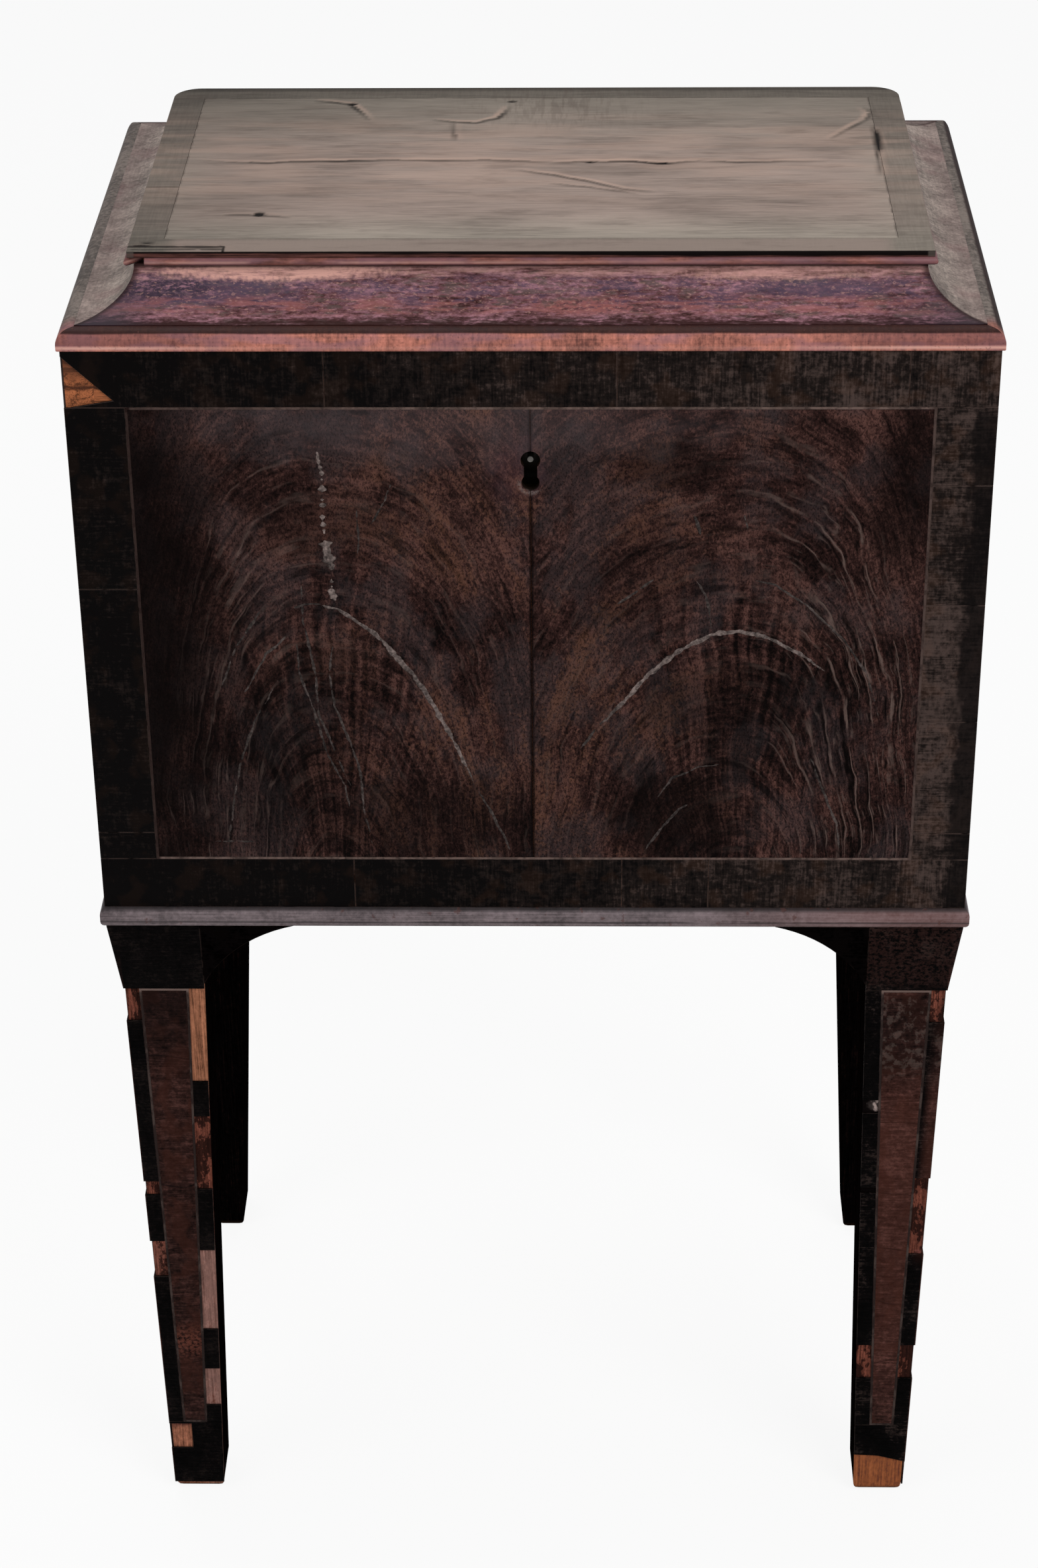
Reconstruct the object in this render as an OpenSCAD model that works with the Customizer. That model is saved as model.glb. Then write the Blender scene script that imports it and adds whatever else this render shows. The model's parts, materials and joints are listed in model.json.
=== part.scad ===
// Cellarette: a small locking bottle chest on a four-legged stand.
// The origin is on the floor under the middle of the chest, +Z is up and the front faces -Y.

/* [Case] */
// Width of the case over its side veneers
case_w = 450; // [420:5:520]
// Depth of the case from the front veneer to the back board
case_d = 300; // [270:5:360]
// Height of the case from the waist moulding to the lid
case_h = 314; // [290:2:380]
// Thickness of the front and side boards
board_t = 14; // [13:1:18]
// Thickness of the back board
back_t = 15; // [14:1:20]
// Thickness of the bottom board
bottom_t = 12; // [10:1:16]
// Depth of the groove that the bottom board's tongue enters
tongue_d = 5; // [3:0.5:7]
// Thickness of that tongue
tongue_t = 6; // [4:0.5:8]
// Number of dovetails at each corner
tail_count = 6; // [4:1:8]
// Width of a dovetail at its root
tail_w = 24; // [16:1:26]
// How much a dovetail widens on each side
tail_flare = 2.4; // [1:0.2:3]

/* [Bottle partitions] */
// Number of bottle cells across the width, in two rows
cells_across = 3; // [2:1:4]
// Thickness of the partition boards
divider_t = 6; // [4:0.5:9]
// Height of the partitions above the bottom board
divider_h = 190; // [140:5:210]
// Depth of the housings that hold the partitions' ends
housing_d = 3; // [2:0.5:4]

/* [Veneers] */
// Thickness of every veneer
veneer_t = 1; // [0.8:0.1:1.4]
// Width of the crossbanding round the front
band_w = 30; // [22:1:36]
// Width of the inlaid string lines
string_w = 1.2; // [1:0.1:2]
// Open joint left between two pieces of veneer
joint_gap = 0.2; // [0.1:0.05:0.4]
// Length of the lost veneer corner along the top edge
loss_w = 24; // [14:1:30]
// Height of the lost veneer corner down the side edge
loss_h = 27; // [16:1:30]

/* [Keyhole and lock] */
// Depth of the keyhole's round head below the lid joint
key_drop = 57.6; // [54:0.2:60]
// Radius of the keyhole's round head
key_head_r = 4.8; // [4:0.1:5.5]
// Radius of the keyhole's rounded foot
key_foot_r = 4.4; // [3.6:0.1:4.8]
// Distance from the centre of the head to the centre of the foot
key_len = 11.8; // [9:0.2:13]
// Radius of the drill pin that the key turns on
drill_pin_r = 1.5; // [1.2:0.1:2]
// Width of the lock's back plate and selvage
lock_w = 88; // [84:1:96]
// Height of the lock's back plate
lock_h = 80; // [78:1:90]
// Thickness of the lock's back plate and selvage
plate_t = 1.5; // [1.2:0.1:2]
// Thickness of the lock's cap and case walls
cap_t = 1; // [0.8:0.1:1.4]
// Depth of the lock's case between the plate and the cap
lock_case_d = 8.5; // [8.4:0.1:9]
// Width of the lock's case
lock_case_w = 68; // [66:1:72]
// Distance that the bolt slides
bolt_travel = 7; // [6:0.5:7.5]
// Height of the bolt's bar
bolt_h = 24; // [20:1:26]
// Width of each link plate hook along the bolt's path
hook_w = 3; // [2:0.5:3.5]
// How far the hooks hang below the lid
hook_l = 19; // [18.5:0.5:20]
// Clearance of sliding and passing parts
slide_gap = 0.3; // [0.2:0.05:0.5]

/* [Hinges] */
// Length of each hinge
hinge_l = 50; // [40:1:60]
// Distance of each hinge from the middle of the back
hinge_x = 140; // [110:1:150]
// Radius of the hinge knuckles
knuckle_r = 2.2; // [2:0.1:2.4]
// Radius of the hinge pins
hinge_pin_r = 1; // [0.8:0.05:1.2]
// Thickness of the hinge leaves
leaf_t = 1.2; // [1:0.1:1.5]
// Reach of the leaves in front of the hinge axis
leaf_reach = 14.5; // [13.5:0.5:15]
// Distance of the hinge axis behind the back board
axis_out = 0.5; // [0.4:0.1:0.8]
// Radius of the wood screws' shanks
screw_r = 1.4; // [1.1:0.1:1.6]
// Length of the wood screws
screw_l = 8; // [6:0.5:8.5]

/* [Lid] */
// Height of the bead round the lid's lower edge
bead_h = 10; // [8:0.5:12]
// How far the bead stands out from the case
bead_out = 1.5; // [1:0.1:2]
// Distance from the case's face to the foot of the cove
cove_in = 7; // [6:0.5:9]
// Width of the cove in plan
cove_w = 27; // [20:1:32]
// Height of the cove
cove_h = 20.5; // [16:0.5:24]
// Small upright step under the cove
quirk_h = 0.5; // [0.3:0.1:1]
// Flat on top of the lid frame, where the top board is glued
rail_flat = 10; // [8:1:14]
// Thickness of the lid's top board
top_t = 7; // [6:0.5:9]
// How far the top board stands out past the top of the cove
top_over = 3; // [1:0.5:5]
// Height of the nosing strips under the top board's edge
nosing_h = 4; // [3:0.5:5]
// How far the nosing strips stand out past the top board
nosing_out = 1.5; // [0.5:0.1:2]
// Width of the nosing strips
nosing_w = 8.5; // [7:0.5:10]
// Length broken off the front nosing at its left end
nosing_lost = 10; // [0:1:20]
// Radius of the top board's two rear corners
rear_corner_r = 14; // [8:0.5:18]
// Radius of the bead's two rear corners
bead_corner_r = 9; // [4:0.5:12]
// Width of the crossbanding round the lid's top
top_band_w = 16.5; // [12:0.5:20]

/* [Stand] */
// Height of the legs from the floor to the platform
leg_h = 398; // [340:2:480]
// Height of the waist moulding and of the platform board inside it
waist_h = 12; // [10:0.5:16]
// How far the waist moulding stands out from the case
waist_out = 2.5; // [1.5:0.1:4]
// Thickness of the waist moulding strips
waist_t = 6; // [5:0.5:8]
// Width of a leg's front face under its block
knee_w = 43.5; // [38:0.5:48]
// Depth of a leg's side face under its block
knee_d = 43; // [38:0.5:48]
// Width of a front foot
foot_w = 28.5; // [24:0.5:34]
// Width of a rear foot
rear_foot_w = 18.5; // [17:0.5:28]
// Depth of a foot
foot_d = 32; // [26:0.5:36]
// Distance of the knee inside the case's side
knee_in_x = 5.5; // [3:0.5:8]
// Distance of the knee inside the case's front
knee_in_y = 5; // [3:0.5:8]
// Distance of the foot inside the case's side
foot_in_x = 12.5; // [8:0.5:18]
// Distance of the foot inside the case's front
foot_in_y = 9; // [6:0.5:16]
// Height of the flared block at the top of each leg
block_h = 43; // [41:1:52]
// Rounding of the foot's lower edges
foot_r = 6; // [3:0.5:8]
// Side of the square tenon on top of each leg
tenon_w = 24; // [16:1:28]
// Length of that tenon
tenon_l = 8; // [5:0.5:9]
// Length of the corner brackets along the platform
bracket_w = 50; // [36:1:60]
// Drop of the corner brackets down the legs
bracket_h = 40; // [30:1:43]
// Radius of the brackets' hollow edge
bracket_r = 75; // [60:1:110]
// Thickness of the brackets
bracket_t = 14; // [10:1:18]
// Side of the glue blocks behind the brackets
glue_block = 20; // [14:1:26]

/* [Leg veneers] */
// Width of the edge banding beside a leg's front panel
edge_w = 8.5; // [6:0.5:10]
// Height of the dark cuff above the floor
cuff_h = 52; // [40:1:64]
// Depth of the lost veneer on a leg's outer side
side_loss = 6; // [3:0.5:10]

/* [Hidden] */
$fn = 48;

half_w = case_w / 2;
half_d = case_d / 2;
platform_z = leg_h;
case_z = leg_h + waist_h;
joint_z = case_z + case_h;
core_x = half_w - veneer_t;
front_y = veneer_t - half_d;
inner_x = core_x - board_t;
inner_front = front_y + board_t;
inner_back = half_d - back_t;
floor_z = case_z + bottom_t;

// Small overlap that lets a cut run clear of a face
past = 1;

// Dovetail places, spaced evenly up the corner
tail_pitch = case_h / tail_count;
function tail_z(i) = case_z + tail_pitch * (i + 0.5);

// Partition places
cell_w = (2 * inner_x - (cells_across - 1) * divider_t) / cells_across;
function divider_x(i) = -inner_x + i * (cell_w + divider_t) - divider_t / 2;

// Front veneer layout, as the joints show on the real front
string_x = half_w - band_w;
string_top = joint_z - band_w;
string_bottom = case_z + band_w;
TOP_JOINTS = [0.28, 0.593, 0.904];
BOTTOM_JOINTS = [0.293, 0.602, 0.702];
LEFT_JOINTS = [0.062, 0.615];
RIGHT_JOINTS = [0.062, 0.32, 0.58, 0.837];

// Lock places, measured down from the lid joint
key_z = joint_z - key_drop;
key_waist = 2 * key_head_r * 0.68;
pin_end = half_d - plate_t;
plate_y = inner_front - plate_t;
cap_y = plate_y - lock_case_d;
lock_bottom = joint_z - lock_h;
case_wall_bottom = lock_bottom + 2;
selvage_y = cap_y - 2 * cap_t;
key_sweep = key_len + key_foot_r + 0.4;
hook_x = 16;
hook_front = cap_y + 1;
hook_back = plate_y - 0.4;
eye_front = hook_front + 1.25;
eye_back = hook_back - 1.85;
eye_low = joint_z - hook_l + 2.2;
eye_high = eye_low + 5.1;
finger_low = eye_low + 0.8;
finger_high = eye_high - 0.8;
bolt_top = joint_z - hook_l - 1;
bolt_low = bolt_top - bolt_h;
finger_gap = 1.2;
finger_l = bolt_travel - finger_gap + slide_gap;
riser_w = 5;
left_finger = -hook_x - hook_w / 2 - finger_gap;
right_finger = hook_x - hook_w / 2 - finger_gap;
bolt_left = left_finger - finger_l - riser_w;
bolt_right = 22;
hump_left = -11;
hump_right = right_finger - finger_l;
hump_top = finger_high + 3.5;
talon_w = 10;
shelf_t = 1.7;
shelf_in = 12;
spring_t = 0.6;
plate_screw_x = lock_w / 2 - 5;
plate_screw_drops = [12, lock_h - 10];
link_w = 70;
link_front = hook_front - 2;
link_back = hook_back + 2;
link_screw_x = 28;

// Screw heads
head_r = screw_r + 1.6;
head_h = 1.4;
link_screw_y = link_back - head_r - 0.6;
slot_w = 0.6;
screw_slack = 0.05;

// Hinge places
axis_y = half_d + axis_out;
leaf_gap = 0.2;
leaf_front = axis_y - leaf_reach;
knuckle_count = 5;
knuckle_gap = 0.3;
knuckle_room = knuckle_r + 0.5;
leaf_back = axis_y - knuckle_room;
hinge_screw_y = leaf_front + head_r + 0.5;
hinge_screw_xs = [-hinge_l / 2 + 7, 0, hinge_l / 2 - 7];

// Lid heights above the joint
bead_top = joint_z + bead_h;
cove_low = bead_top + quirk_h;
rail_top = cove_low + cove_h;
rail_out = cove_in + cove_w;
rail_in = rail_out + rail_flat;
top_inset = rail_out - top_over;
board_top = rail_top + top_t;
bead_round = 6.5;
bead_ease = 1;
nosing_in = top_inset - nosing_out + nosing_w;
top_x = half_w - top_inset;
top_y = half_d - top_inset;

// Stand places
knee_z = leg_h - block_h;
platform_in = waist_t - waist_out;
tenon_x = half_w - knee_in_x - knee_w / 2;
tenon_y = half_d - knee_in_y - knee_d / 2;
bracket_x = half_w - knee_in_x - knee_w;
bracket_y = half_d - knee_in_y - knee_d;

// Lost lengths of leg edge banding, [from, to] as shares of the leg's height
LOST_LEFT_OUTER = [[0.400, 0.463], [0.545, 0.568], [0.840, 0.900]];
LOST_LEFT_INNER = [[0.163, 0.231], [0.304, 0.447], [0.555, 0.680], [0.739, 0.900]];
LOST_RIGHT_OUTER = [[0.219, 0.280], [0.445, 0.578], [0.840, 0.900]];
LOST_RIGHT_INNER = [[0.219, 0.280], [0.552, 0.562], [0.689, 0.711]];

// A box between two opposite corners
module block(low, high) {
    translate(low) cube(high - low);
}

// A section drawn in Y and Z, run along X
module along_x(x0, x1) {
    translate([x0, 0, 0]) rotate([90, 0, 90]) linear_extrude(x1 - x0) children();
}

// A section drawn in X and Z, run along Y
module along_y(y0, y1) {
    translate([0, y1, 0]) rotate([90, 0, 0]) linear_extrude(y1 - y0) children();
}

// A cylinder along X
module rod_x(x0, x1, y, z, r) {
    translate([x0, y, z]) rotate([0, 90, 0]) cylinder(r = r, h = x1 - x0);
}

// A cylinder along Y
module rod_y(y0, y1, x, z, r) {
    translate([x, y1, z]) rotate([90, 0, 0]) cylinder(r = r, h = y1 - y0);
}

// Points of an arc, or of an ellipse's quarter, in a section
function arc(centre, rx, rz, a0, a1, steps) =
    [for (i = [0 : steps]) let (a = a0 + (a1 - a0) * i / steps)
        [centre[0] + rx * cos(a), centre[1] + rz * sin(a)]];

// One side of a mitred frame round the case: 0 front, 1 right, 2 back, 3 left.
// The section is drawn with X as the distance inwards from the case's face.
module mitred(side) {
    along = side % 2 == 0 ? half_w : half_d;
    across = side % 2 == 0 ? half_d : half_w;
    out = 8;
    reach = rail_in + 5;
    rotate([0, 0, 90 * side]) intersection() {
        translate([0, -across, 0]) along_x(-along - out, along + out) children();
        linear_extrude(board_top + 20) polygon([[-along - out, -across - out],
            [along + out, -across - out], [along - reach, -across + reach],
            [reach - along, -across + reach]]);
    }
}

// Half width of a dovetail at a distance from its root
function tail_half(dist, length) = tail_w / 2 + tail_flare * dist / length;

// Edge of a side board with its dovetails, going up
function tail_edge(root, end) =
    [for (i = [0 : tail_count - 1], k = [0 : 3])
        [k == 0 || k == 3 ? root : end,
         tail_z(i) + (k < 2 ? -1 : 1) * (tail_w / 2 + (k == 1 || k == 2 ? tail_flare : 0))]];

// Sockets that the dovetails leave in the front or back board
module tail_sockets(root, end) {
    length = abs(end - root);
    dir = end > root ? 1 : -1;
    for (side = [-1, 1], i = [0 : tail_count - 1]) {
        x0 = side < 0 ? -core_x - past : inner_x;
        along_x(x0, x0 + board_t + past) polygon([
            [root, tail_z(i) - tail_half(0, length)],
            [end + dir * past, tail_z(i) - tail_half(length + past, length)],
            [end + dir * past, tail_z(i) + tail_half(length + past, length)],
            [root, tail_z(i) + tail_half(0, length)]]);
    }
}

// A countersunk wood screw along -Z from the origin, with its slotted head on top
module screw() {
    difference() {
        union() {
            translate([0, 0, -head_h]) cylinder(r1 = screw_r, r2 = head_r, h = head_h);
            translate([0, 0, -screw_l]) cylinder(r = screw_r, h = screw_l - head_h + 0.1);
        }
        block([-head_r - past, -slot_w / 2, -0.5], [head_r + past, slot_w / 2, past]);
    }
}

// The room that a screw takes in wood and metal
module screw_hole() {
    r = screw_r + screw_slack;
    translate([0, 0, -head_h]) cylinder(r1 = r, r2 = head_r + screw_slack, h = head_h);
    translate([0, 0, -screw_l - screw_slack]) cylinder(r = r, h = screw_l);
    cylinder(r = head_r + screw_slack, h = past);
}

// Places of the screws in the case: lock plate and both hinges' lower leaves
module at_lock_screws() {
    for (x = [-plate_screw_x, plate_screw_x], drop = plate_screw_drops)
        translate([x, inner_front, joint_z - drop]) rotate([-90, 0, 0]) children();
}

module at_case_hinge_screws() {
    for (side = [-1, 1], x = hinge_screw_xs)
        translate([side * hinge_x + x, hinge_screw_y, joint_z - leaf_gap]) children();
}

// Places of the screws in the lid, heads downwards
module at_link_screws() {
    for (x = [-link_screw_x, link_screw_x])
        translate([x, link_screw_y, joint_z]) rotate([180, 0, 0]) children();
}

module at_lid_hinge_screws() {
    for (side = [-1, 1], x = hinge_screw_xs)
        translate([side * hinge_x + x, hinge_screw_y, joint_z + leaf_gap])
            rotate([180, 0, 0]) children();
}

// Outline of the keyhole in X and Z
module keyhole() {
    translate([0, key_z]) circle(r = key_head_r);
    translate([-key_waist / 2, key_z - key_len]) square([key_waist, key_len]);
    translate([0, key_z - key_len]) circle(r = key_foot_r);
}

// Case: dovetailed boards round a tongued bottom
module bottom_core() {
    block([-inner_x, inner_front, case_z], [inner_x, inner_back, floor_z]);
}

module bottom_tongue() {
    low = case_z + (bottom_t - tongue_t) / 2;
    block([-inner_x - tongue_d, inner_front - tongue_d, low],
        [inner_x + tongue_d, inner_back + tongue_d, low + tongue_t]);
}

module side_board(side) {
    x0 = side < 0 ? -core_x : inner_x;
    back_edge = tail_edge(inner_back, half_d);
    count = len(back_edge);
    difference() {
        along_x(x0, x0 + board_t) polygon(concat(
            [[inner_front, case_z]], tail_edge(inner_front, front_y),
            [[inner_front, joint_z], [inner_back, joint_z]],
            [for (i = [count - 1 : -1 : 0]) back_edge[i]], [[inner_back, case_z]]));
        bottom_tongue();
        long_divider_body();
    }
}

module hinge_mortises(up) {
    low = up > 0 ? -past : -leaf_gap - leaf_t;
    high = up > 0 ? leaf_gap + leaf_t : past;
    for (side = [-1, 1]) {
        block([side * hinge_x - hinge_l / 2, leaf_front, joint_z + low],
            [side * hinge_x + hinge_l / 2, axis_y + knuckle_room, joint_z + high]);
        rod_x(side * hinge_x - hinge_l / 2 - knuckle_gap,
            side * hinge_x + hinge_l / 2 + knuckle_gap, axis_y, joint_z, knuckle_room);
    }
}

module lock_mortise() {
    wide = lock_case_w / 2 + slide_gap;
    block([-wide, cap_y - cap_t, case_wall_bottom - slide_gap],
        [wide, inner_front + past, joint_z + past]);
    block([-lock_w / 2, plate_y, lock_bottom], [lock_w / 2, inner_front + past, joint_z + past]);
    block([-lock_w / 2, selvage_y, joint_z - plate_t],
        [lock_w / 2, inner_front + past, joint_z + past]);
}

module case_front_board() {
    color("saddlebrown") difference() {
        block([-core_x, front_y, case_z], [core_x, inner_front, joint_z]);
        tail_sockets(inner_front, front_y);
        bottom_tongue();
        cross_divider_bodies();
        lock_mortise();
        at_lock_screws() screw_hole();
        along_y(front_y - past, cap_y) keyhole();
    }
}

module case_back_board() {
    color("peru") difference() {
        block([-core_x, inner_back, case_z], [core_x, half_d, joint_z]);
        tail_sockets(inner_back, half_d);
        bottom_tongue();
        cross_divider_bodies();
        hinge_mortises(-1);
        at_case_hinge_screws() screw_hole();
    }
}

module case_left_board() {
    color("peru") side_board(-1);
}

module case_right_board() {
    color("peru") side_board(1);
}

module case_bottom_board() {
    color("burlywood") union() {
        bottom_core();
        bottom_tongue();
    }
}

// Bottle partitions, halved over each other
module long_divider_body() {
    block([-inner_x - housing_d, -divider_t / 2, floor_z],
        [inner_x + housing_d, divider_t / 2, floor_z + divider_h]);
}

module cross_divider_bodies() {
    for (i = [1 : cells_across - 1])
        block([divider_x(i) - divider_t / 2, inner_front - housing_d, floor_z],
            [divider_x(i) + divider_t / 2, inner_back + housing_d, floor_z + divider_h]);
}

module long_divider() {
    color("sienna") difference() {
        long_divider_body();
        for (i = [1 : cells_across - 1])
            block([divider_x(i) - divider_t / 2, -divider_t, floor_z + divider_h / 2],
                [divider_x(i) + divider_t / 2, divider_t, floor_z + divider_h + past]);
    }
}

module cross_dividers() {
    color("sienna") difference() {
        cross_divider_bodies();
        block([-inner_x, -divider_t / 2, floor_z - past],
            [inner_x, divider_t / 2, floor_z + divider_h / 2]);
    }
}

// Front veneers: two bookmatched leaves inside a string line and crossbanding
module front_piece(x0, x1, z0, z1) {
    block([x0, -half_d, z0], [x1, front_y, z1]);
}

module field_leaf(side) {
    edge = string_x - string_w / 2;
    x0 = side < 0 ? -edge : joint_gap / 2;
    difference() {
        front_piece(x0, x0 + edge - joint_gap / 2, string_bottom + string_w / 2,
            string_top - string_w / 2);
        along_y(-half_d - past, front_y + past) keyhole();
    }
}

module front_field_left() {
    color("#4a2c22") field_leaf(-1);
}

module front_field_right() {
    color("#4a2c22") field_leaf(1);
}

module front_stringing() {
    color("tan") difference() {
        front_piece(-string_x - string_w / 2, string_x + string_w / 2,
            string_bottom - string_w / 2, string_top + string_w / 2);
        block([string_w / 2 - string_x, -half_d - past, string_bottom + string_w / 2],
            [string_x - string_w / 2, front_y + past, string_top - string_w / 2]);
    }
}

// A crossband across the full width, cut at its joints
module band_across(z0, z1, joints) {
    difference() {
        front_piece(-half_w, half_w, z0, z1);
        for (share = joints)
            block([(2 * share - 1) * half_w - joint_gap / 2, -half_d - past, z0 - past],
                [(2 * share - 1) * half_w + joint_gap / 2, front_y + past, z1 + past]);
    }
}

// A crossband up one side between the other two
module band_upright(side, joints) {
    x0 = side < 0 ? -half_w : string_x + string_w / 2;
    z0 = string_bottom - string_w / 2 + joint_gap;
    z1 = string_top + string_w / 2 - joint_gap;
    difference() {
        front_piece(x0, x0 + band_w - string_w / 2, z0, z1);
        for (share = joints)
            block([x0 - past, -half_d - past, z0 + share * (z1 - z0) - joint_gap / 2],
                [x0 + band_w + past, front_y + past, z0 + share * (z1 - z0) + joint_gap / 2]);
    }
}

module front_band_top() {
    color("#2c1d18") difference() {
        band_across(string_top + string_w / 2, joint_z, TOP_JOINTS);
        along_y(-half_d - past, front_y + past) polygon([[-half_w - past, joint_z - 3],
            [-half_w, joint_z - 3], [loss_w - half_w, joint_z - 3 - 0.85 * loss_h],
            [-half_w, joint_z - 3 - loss_h], [-half_w - past, joint_z - 3 - loss_h]]);
    }
}

module front_band_bottom() {
    color("#2c1d18") band_across(case_z, string_bottom - string_w / 2, BOTTOM_JOINTS);
}

module front_band_left() {
    color("#2c1d18") band_upright(-1, LEFT_JOINTS);
}

module front_band_right() {
    color("#2c1d18") band_upright(1, RIGHT_JOINTS);
}

module side_veneer(side) {
    x0 = side < 0 ? -half_w : core_x;
    block([x0, front_y, case_z], [x0 + veneer_t, half_d, joint_z]);
}

module left_side_veneer() {
    color("#3d2a22") side_veneer(-1);
}

module right_side_veneer() {
    color("#3d2a22") side_veneer(1);
}

// Lock: plate and selvage, walls, cap, drill pin, bolt and spring
module lock_back_plate() {
    color("goldenrod") difference() {
        union() {
            block([-lock_w / 2, plate_y, lock_bottom], [lock_w / 2, inner_front, joint_z]);
            block([-lock_w / 2, selvage_y, joint_z - plate_t], [lock_w / 2, plate_y, joint_z]);
        }
        for (x = [-hook_x, hook_x])
            block([x - hook_w / 2 - 0.5, hook_front - 1.2, joint_z - plate_t - past],
                [x + hook_w / 2 + 0.5, plate_y, joint_z + past]);
        at_lock_screws() screw_hole();
    }
}

module lock_case_walls() {
    outer = lock_case_w / 2;
    inner = outer - cap_t - 0.5;
    top = joint_z - plate_t;
    color("darkgoldenrod") difference() {
        block([-outer, cap_y, case_wall_bottom], [outer, plate_y, top]);
        difference() {
            block([-inner, cap_y - past, case_wall_bottom + cap_t],
                [inner, plate_y + past, top + past]);
            for (side = [-1, 1])
                block([side < 0 ? -outer : shelf_in, cap_y - 2, bolt_low - slide_gap - shelf_t],
                    [side < 0 ? -shelf_in : outer, plate_y + 2, bolt_low - slide_gap]);
        }
    }
}

module lock_cap() {
    color("goldenrod") difference() {
        block([-lock_case_w / 2, cap_y - cap_t, case_wall_bottom],
            [lock_case_w / 2, cap_y, joint_z - plate_t]);
        along_y(cap_y - cap_t - past, cap_y + past) keyhole();
    }
}

module lock_drill_pin() {
    color("silver") rod_y(-pin_end, plate_y, 0, key_z, drill_pin_r);
}

// The bolt's bar, riser and hump, with a notch for the key's bit
module lock_bolt() {
    front = cap_y + slide_gap;
    back = plate_y - slide_gap;
    finger_front = eye_front + 0.5;
    finger_back = eye_back - 0.5;
    color("silver") union() {
        difference() {
            block([bolt_left, front, bolt_low], [bolt_right, back, bolt_top]);
            block([-talon_w / 2, front - past, bolt_low - past],
                [talon_w / 2, back + past, key_z + key_sweep + 3]);
        }
        block([bolt_left, finger_front, bolt_top],
            [bolt_left + riser_w, finger_back, finger_high]);
        block([bolt_left + riser_w, finger_front, finger_low],
            [left_finger, finger_back, finger_high]);
        block([hump_left, finger_front, bolt_top], [hump_right, finger_back, hump_top]);
        block([hump_right, finger_front, finger_low], [right_finger, finger_back, finger_high]);
    }
}

// A leaf spring on the bolt's hump, bowed up to the selvage
module bolt_spring() {
    rise = joint_z - plate_t - slide_gap - spring_t - hump_top;
    steps = 8;
    foot = 3;
    length = hump_right - hump_left - foot;
    line = [for (i = [0 : steps]) [hump_right - foot - length * i / steps,
        hump_top + rise * pow(i / steps, 2)]];
    color("lightsteelblue") along_y(eye_front + 0.8, eye_back - 0.8) polygon(concat(
        [[hump_right, hump_top]], line, [for (i = [steps : -1 : 0]) line[i] + [0, spring_t]],
        [[hump_right, hump_top + spring_t]]));
}

module case_screws() {
    color("gray") {
        at_lock_screws() screw();
        at_case_hinge_screws() screw();
    }
}

// Hinges: the outer and middle knuckles are on the case, the other two on the lid
module hinge_leaf(up) {
    step = hinge_l / knuckle_count;
    first = up > 0 ? 1 : 0;
    z0 = joint_z + (up > 0 ? leaf_gap : -leaf_gap - leaf_t);
    bore = hinge_pin_r + (up > 0 ? 0.05 : 0.02);
    difference() {
        union() {
            block([-hinge_l / 2, leaf_front, z0], [hinge_l / 2, leaf_back, z0 + leaf_t]);
            for (i = [first : 2 : knuckle_count - 1]) {
                x0 = -hinge_l / 2 + i * step + knuckle_gap / 2;
                block([x0, leaf_back - past, z0], [x0 + step - knuckle_gap, axis_y, z0 + leaf_t]);
                rod_x(x0, x0 + step - knuckle_gap, axis_y, joint_z, knuckle_r);
            }
        }
        rod_x(-hinge_l, hinge_l, axis_y, joint_z, bore);
    }
}

module hinge_case_leaves() {
    color("goldenrod") difference() {
        for (side = [-1, 1])
            translate([side * hinge_x, 0, 0]) hinge_leaf(-1);
        at_case_hinge_screws() screw_hole();
    }
}

module hinge_lid_leaves() {
    color("goldenrod") difference() {
        for (side = [-1, 1])
            translate([side * hinge_x, 0, 0]) hinge_leaf(1);
        at_lid_hinge_screws() screw_hole();
    }
}

module hinge_pins() {
    color("darkgoldenrod") for (side = [-1, 1])
        rod_x(side * hinge_x - hinge_l / 2, side * hinge_x + hinge_l / 2, axis_y, joint_z,
            hinge_pin_r);
}

// Lid frame: coved rails, mitred at the corners
module lid_rail(side) {
    mitred(side) polygon(concat([[cove_in, joint_z], [rail_in, joint_z], [rail_in, rail_top]],
        arc([cove_in, rail_top], cove_w, -cove_h, 0, 90, 14)));
}

module lid_bead(side) {
    intersection() {
        mitred(side) polygon(concat([[cove_in, joint_z]],
            arc([bead_ease - bead_out, joint_z + bead_ease], bead_ease, bead_ease, 270, 180, 4),
            arc([bead_round - bead_out, bead_top - bead_round], bead_round, bead_round, 180, 90, 8),
            [[cove_in, bead_top]]));
        translate([0, 0, joint_z - past]) linear_extrude(bead_h + 2 * past)
            rounded_plan(half_w + bead_out, half_d + bead_out, bead_corner_r);
    }
}

module link_mortise() {
    block([-link_w / 2, link_front, joint_z - past],
        [link_w / 2, link_back, joint_z + plate_t]);
}

module lid_front_rail() {
    color("#5a3230") difference() {
        lid_rail(0);
        link_mortise();
        at_link_screws() screw_hole();
    }
}

module lid_right_rail() {
    color("#5a4640") lid_rail(1);
}

module lid_back_rail() {
    color("#5a4640") difference() {
        lid_rail(2);
        hinge_mortises(1);
        at_lid_hinge_screws() screw_hole();
    }
}

module lid_left_rail() {
    color("#5a4640") lid_rail(3);
}

module lid_front_bead() {
    color("#8a5448") difference() {
        lid_bead(0);
        link_mortise();
    }
}

module lid_right_bead() {
    color("#8a5448") lid_bead(1);
}

module lid_back_bead() {
    color("#8a5448") difference() {
        lid_bead(2);
        hinge_mortises(1);
    }
}

module lid_left_bead() {
    color("#8a5448") lid_bead(3);
}

// Plan of the lid's top, grown by a margin
module top_plan(grow) {
    rounded_plan(top_x + grow, top_y + grow, rear_corner_r + grow);
}

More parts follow.
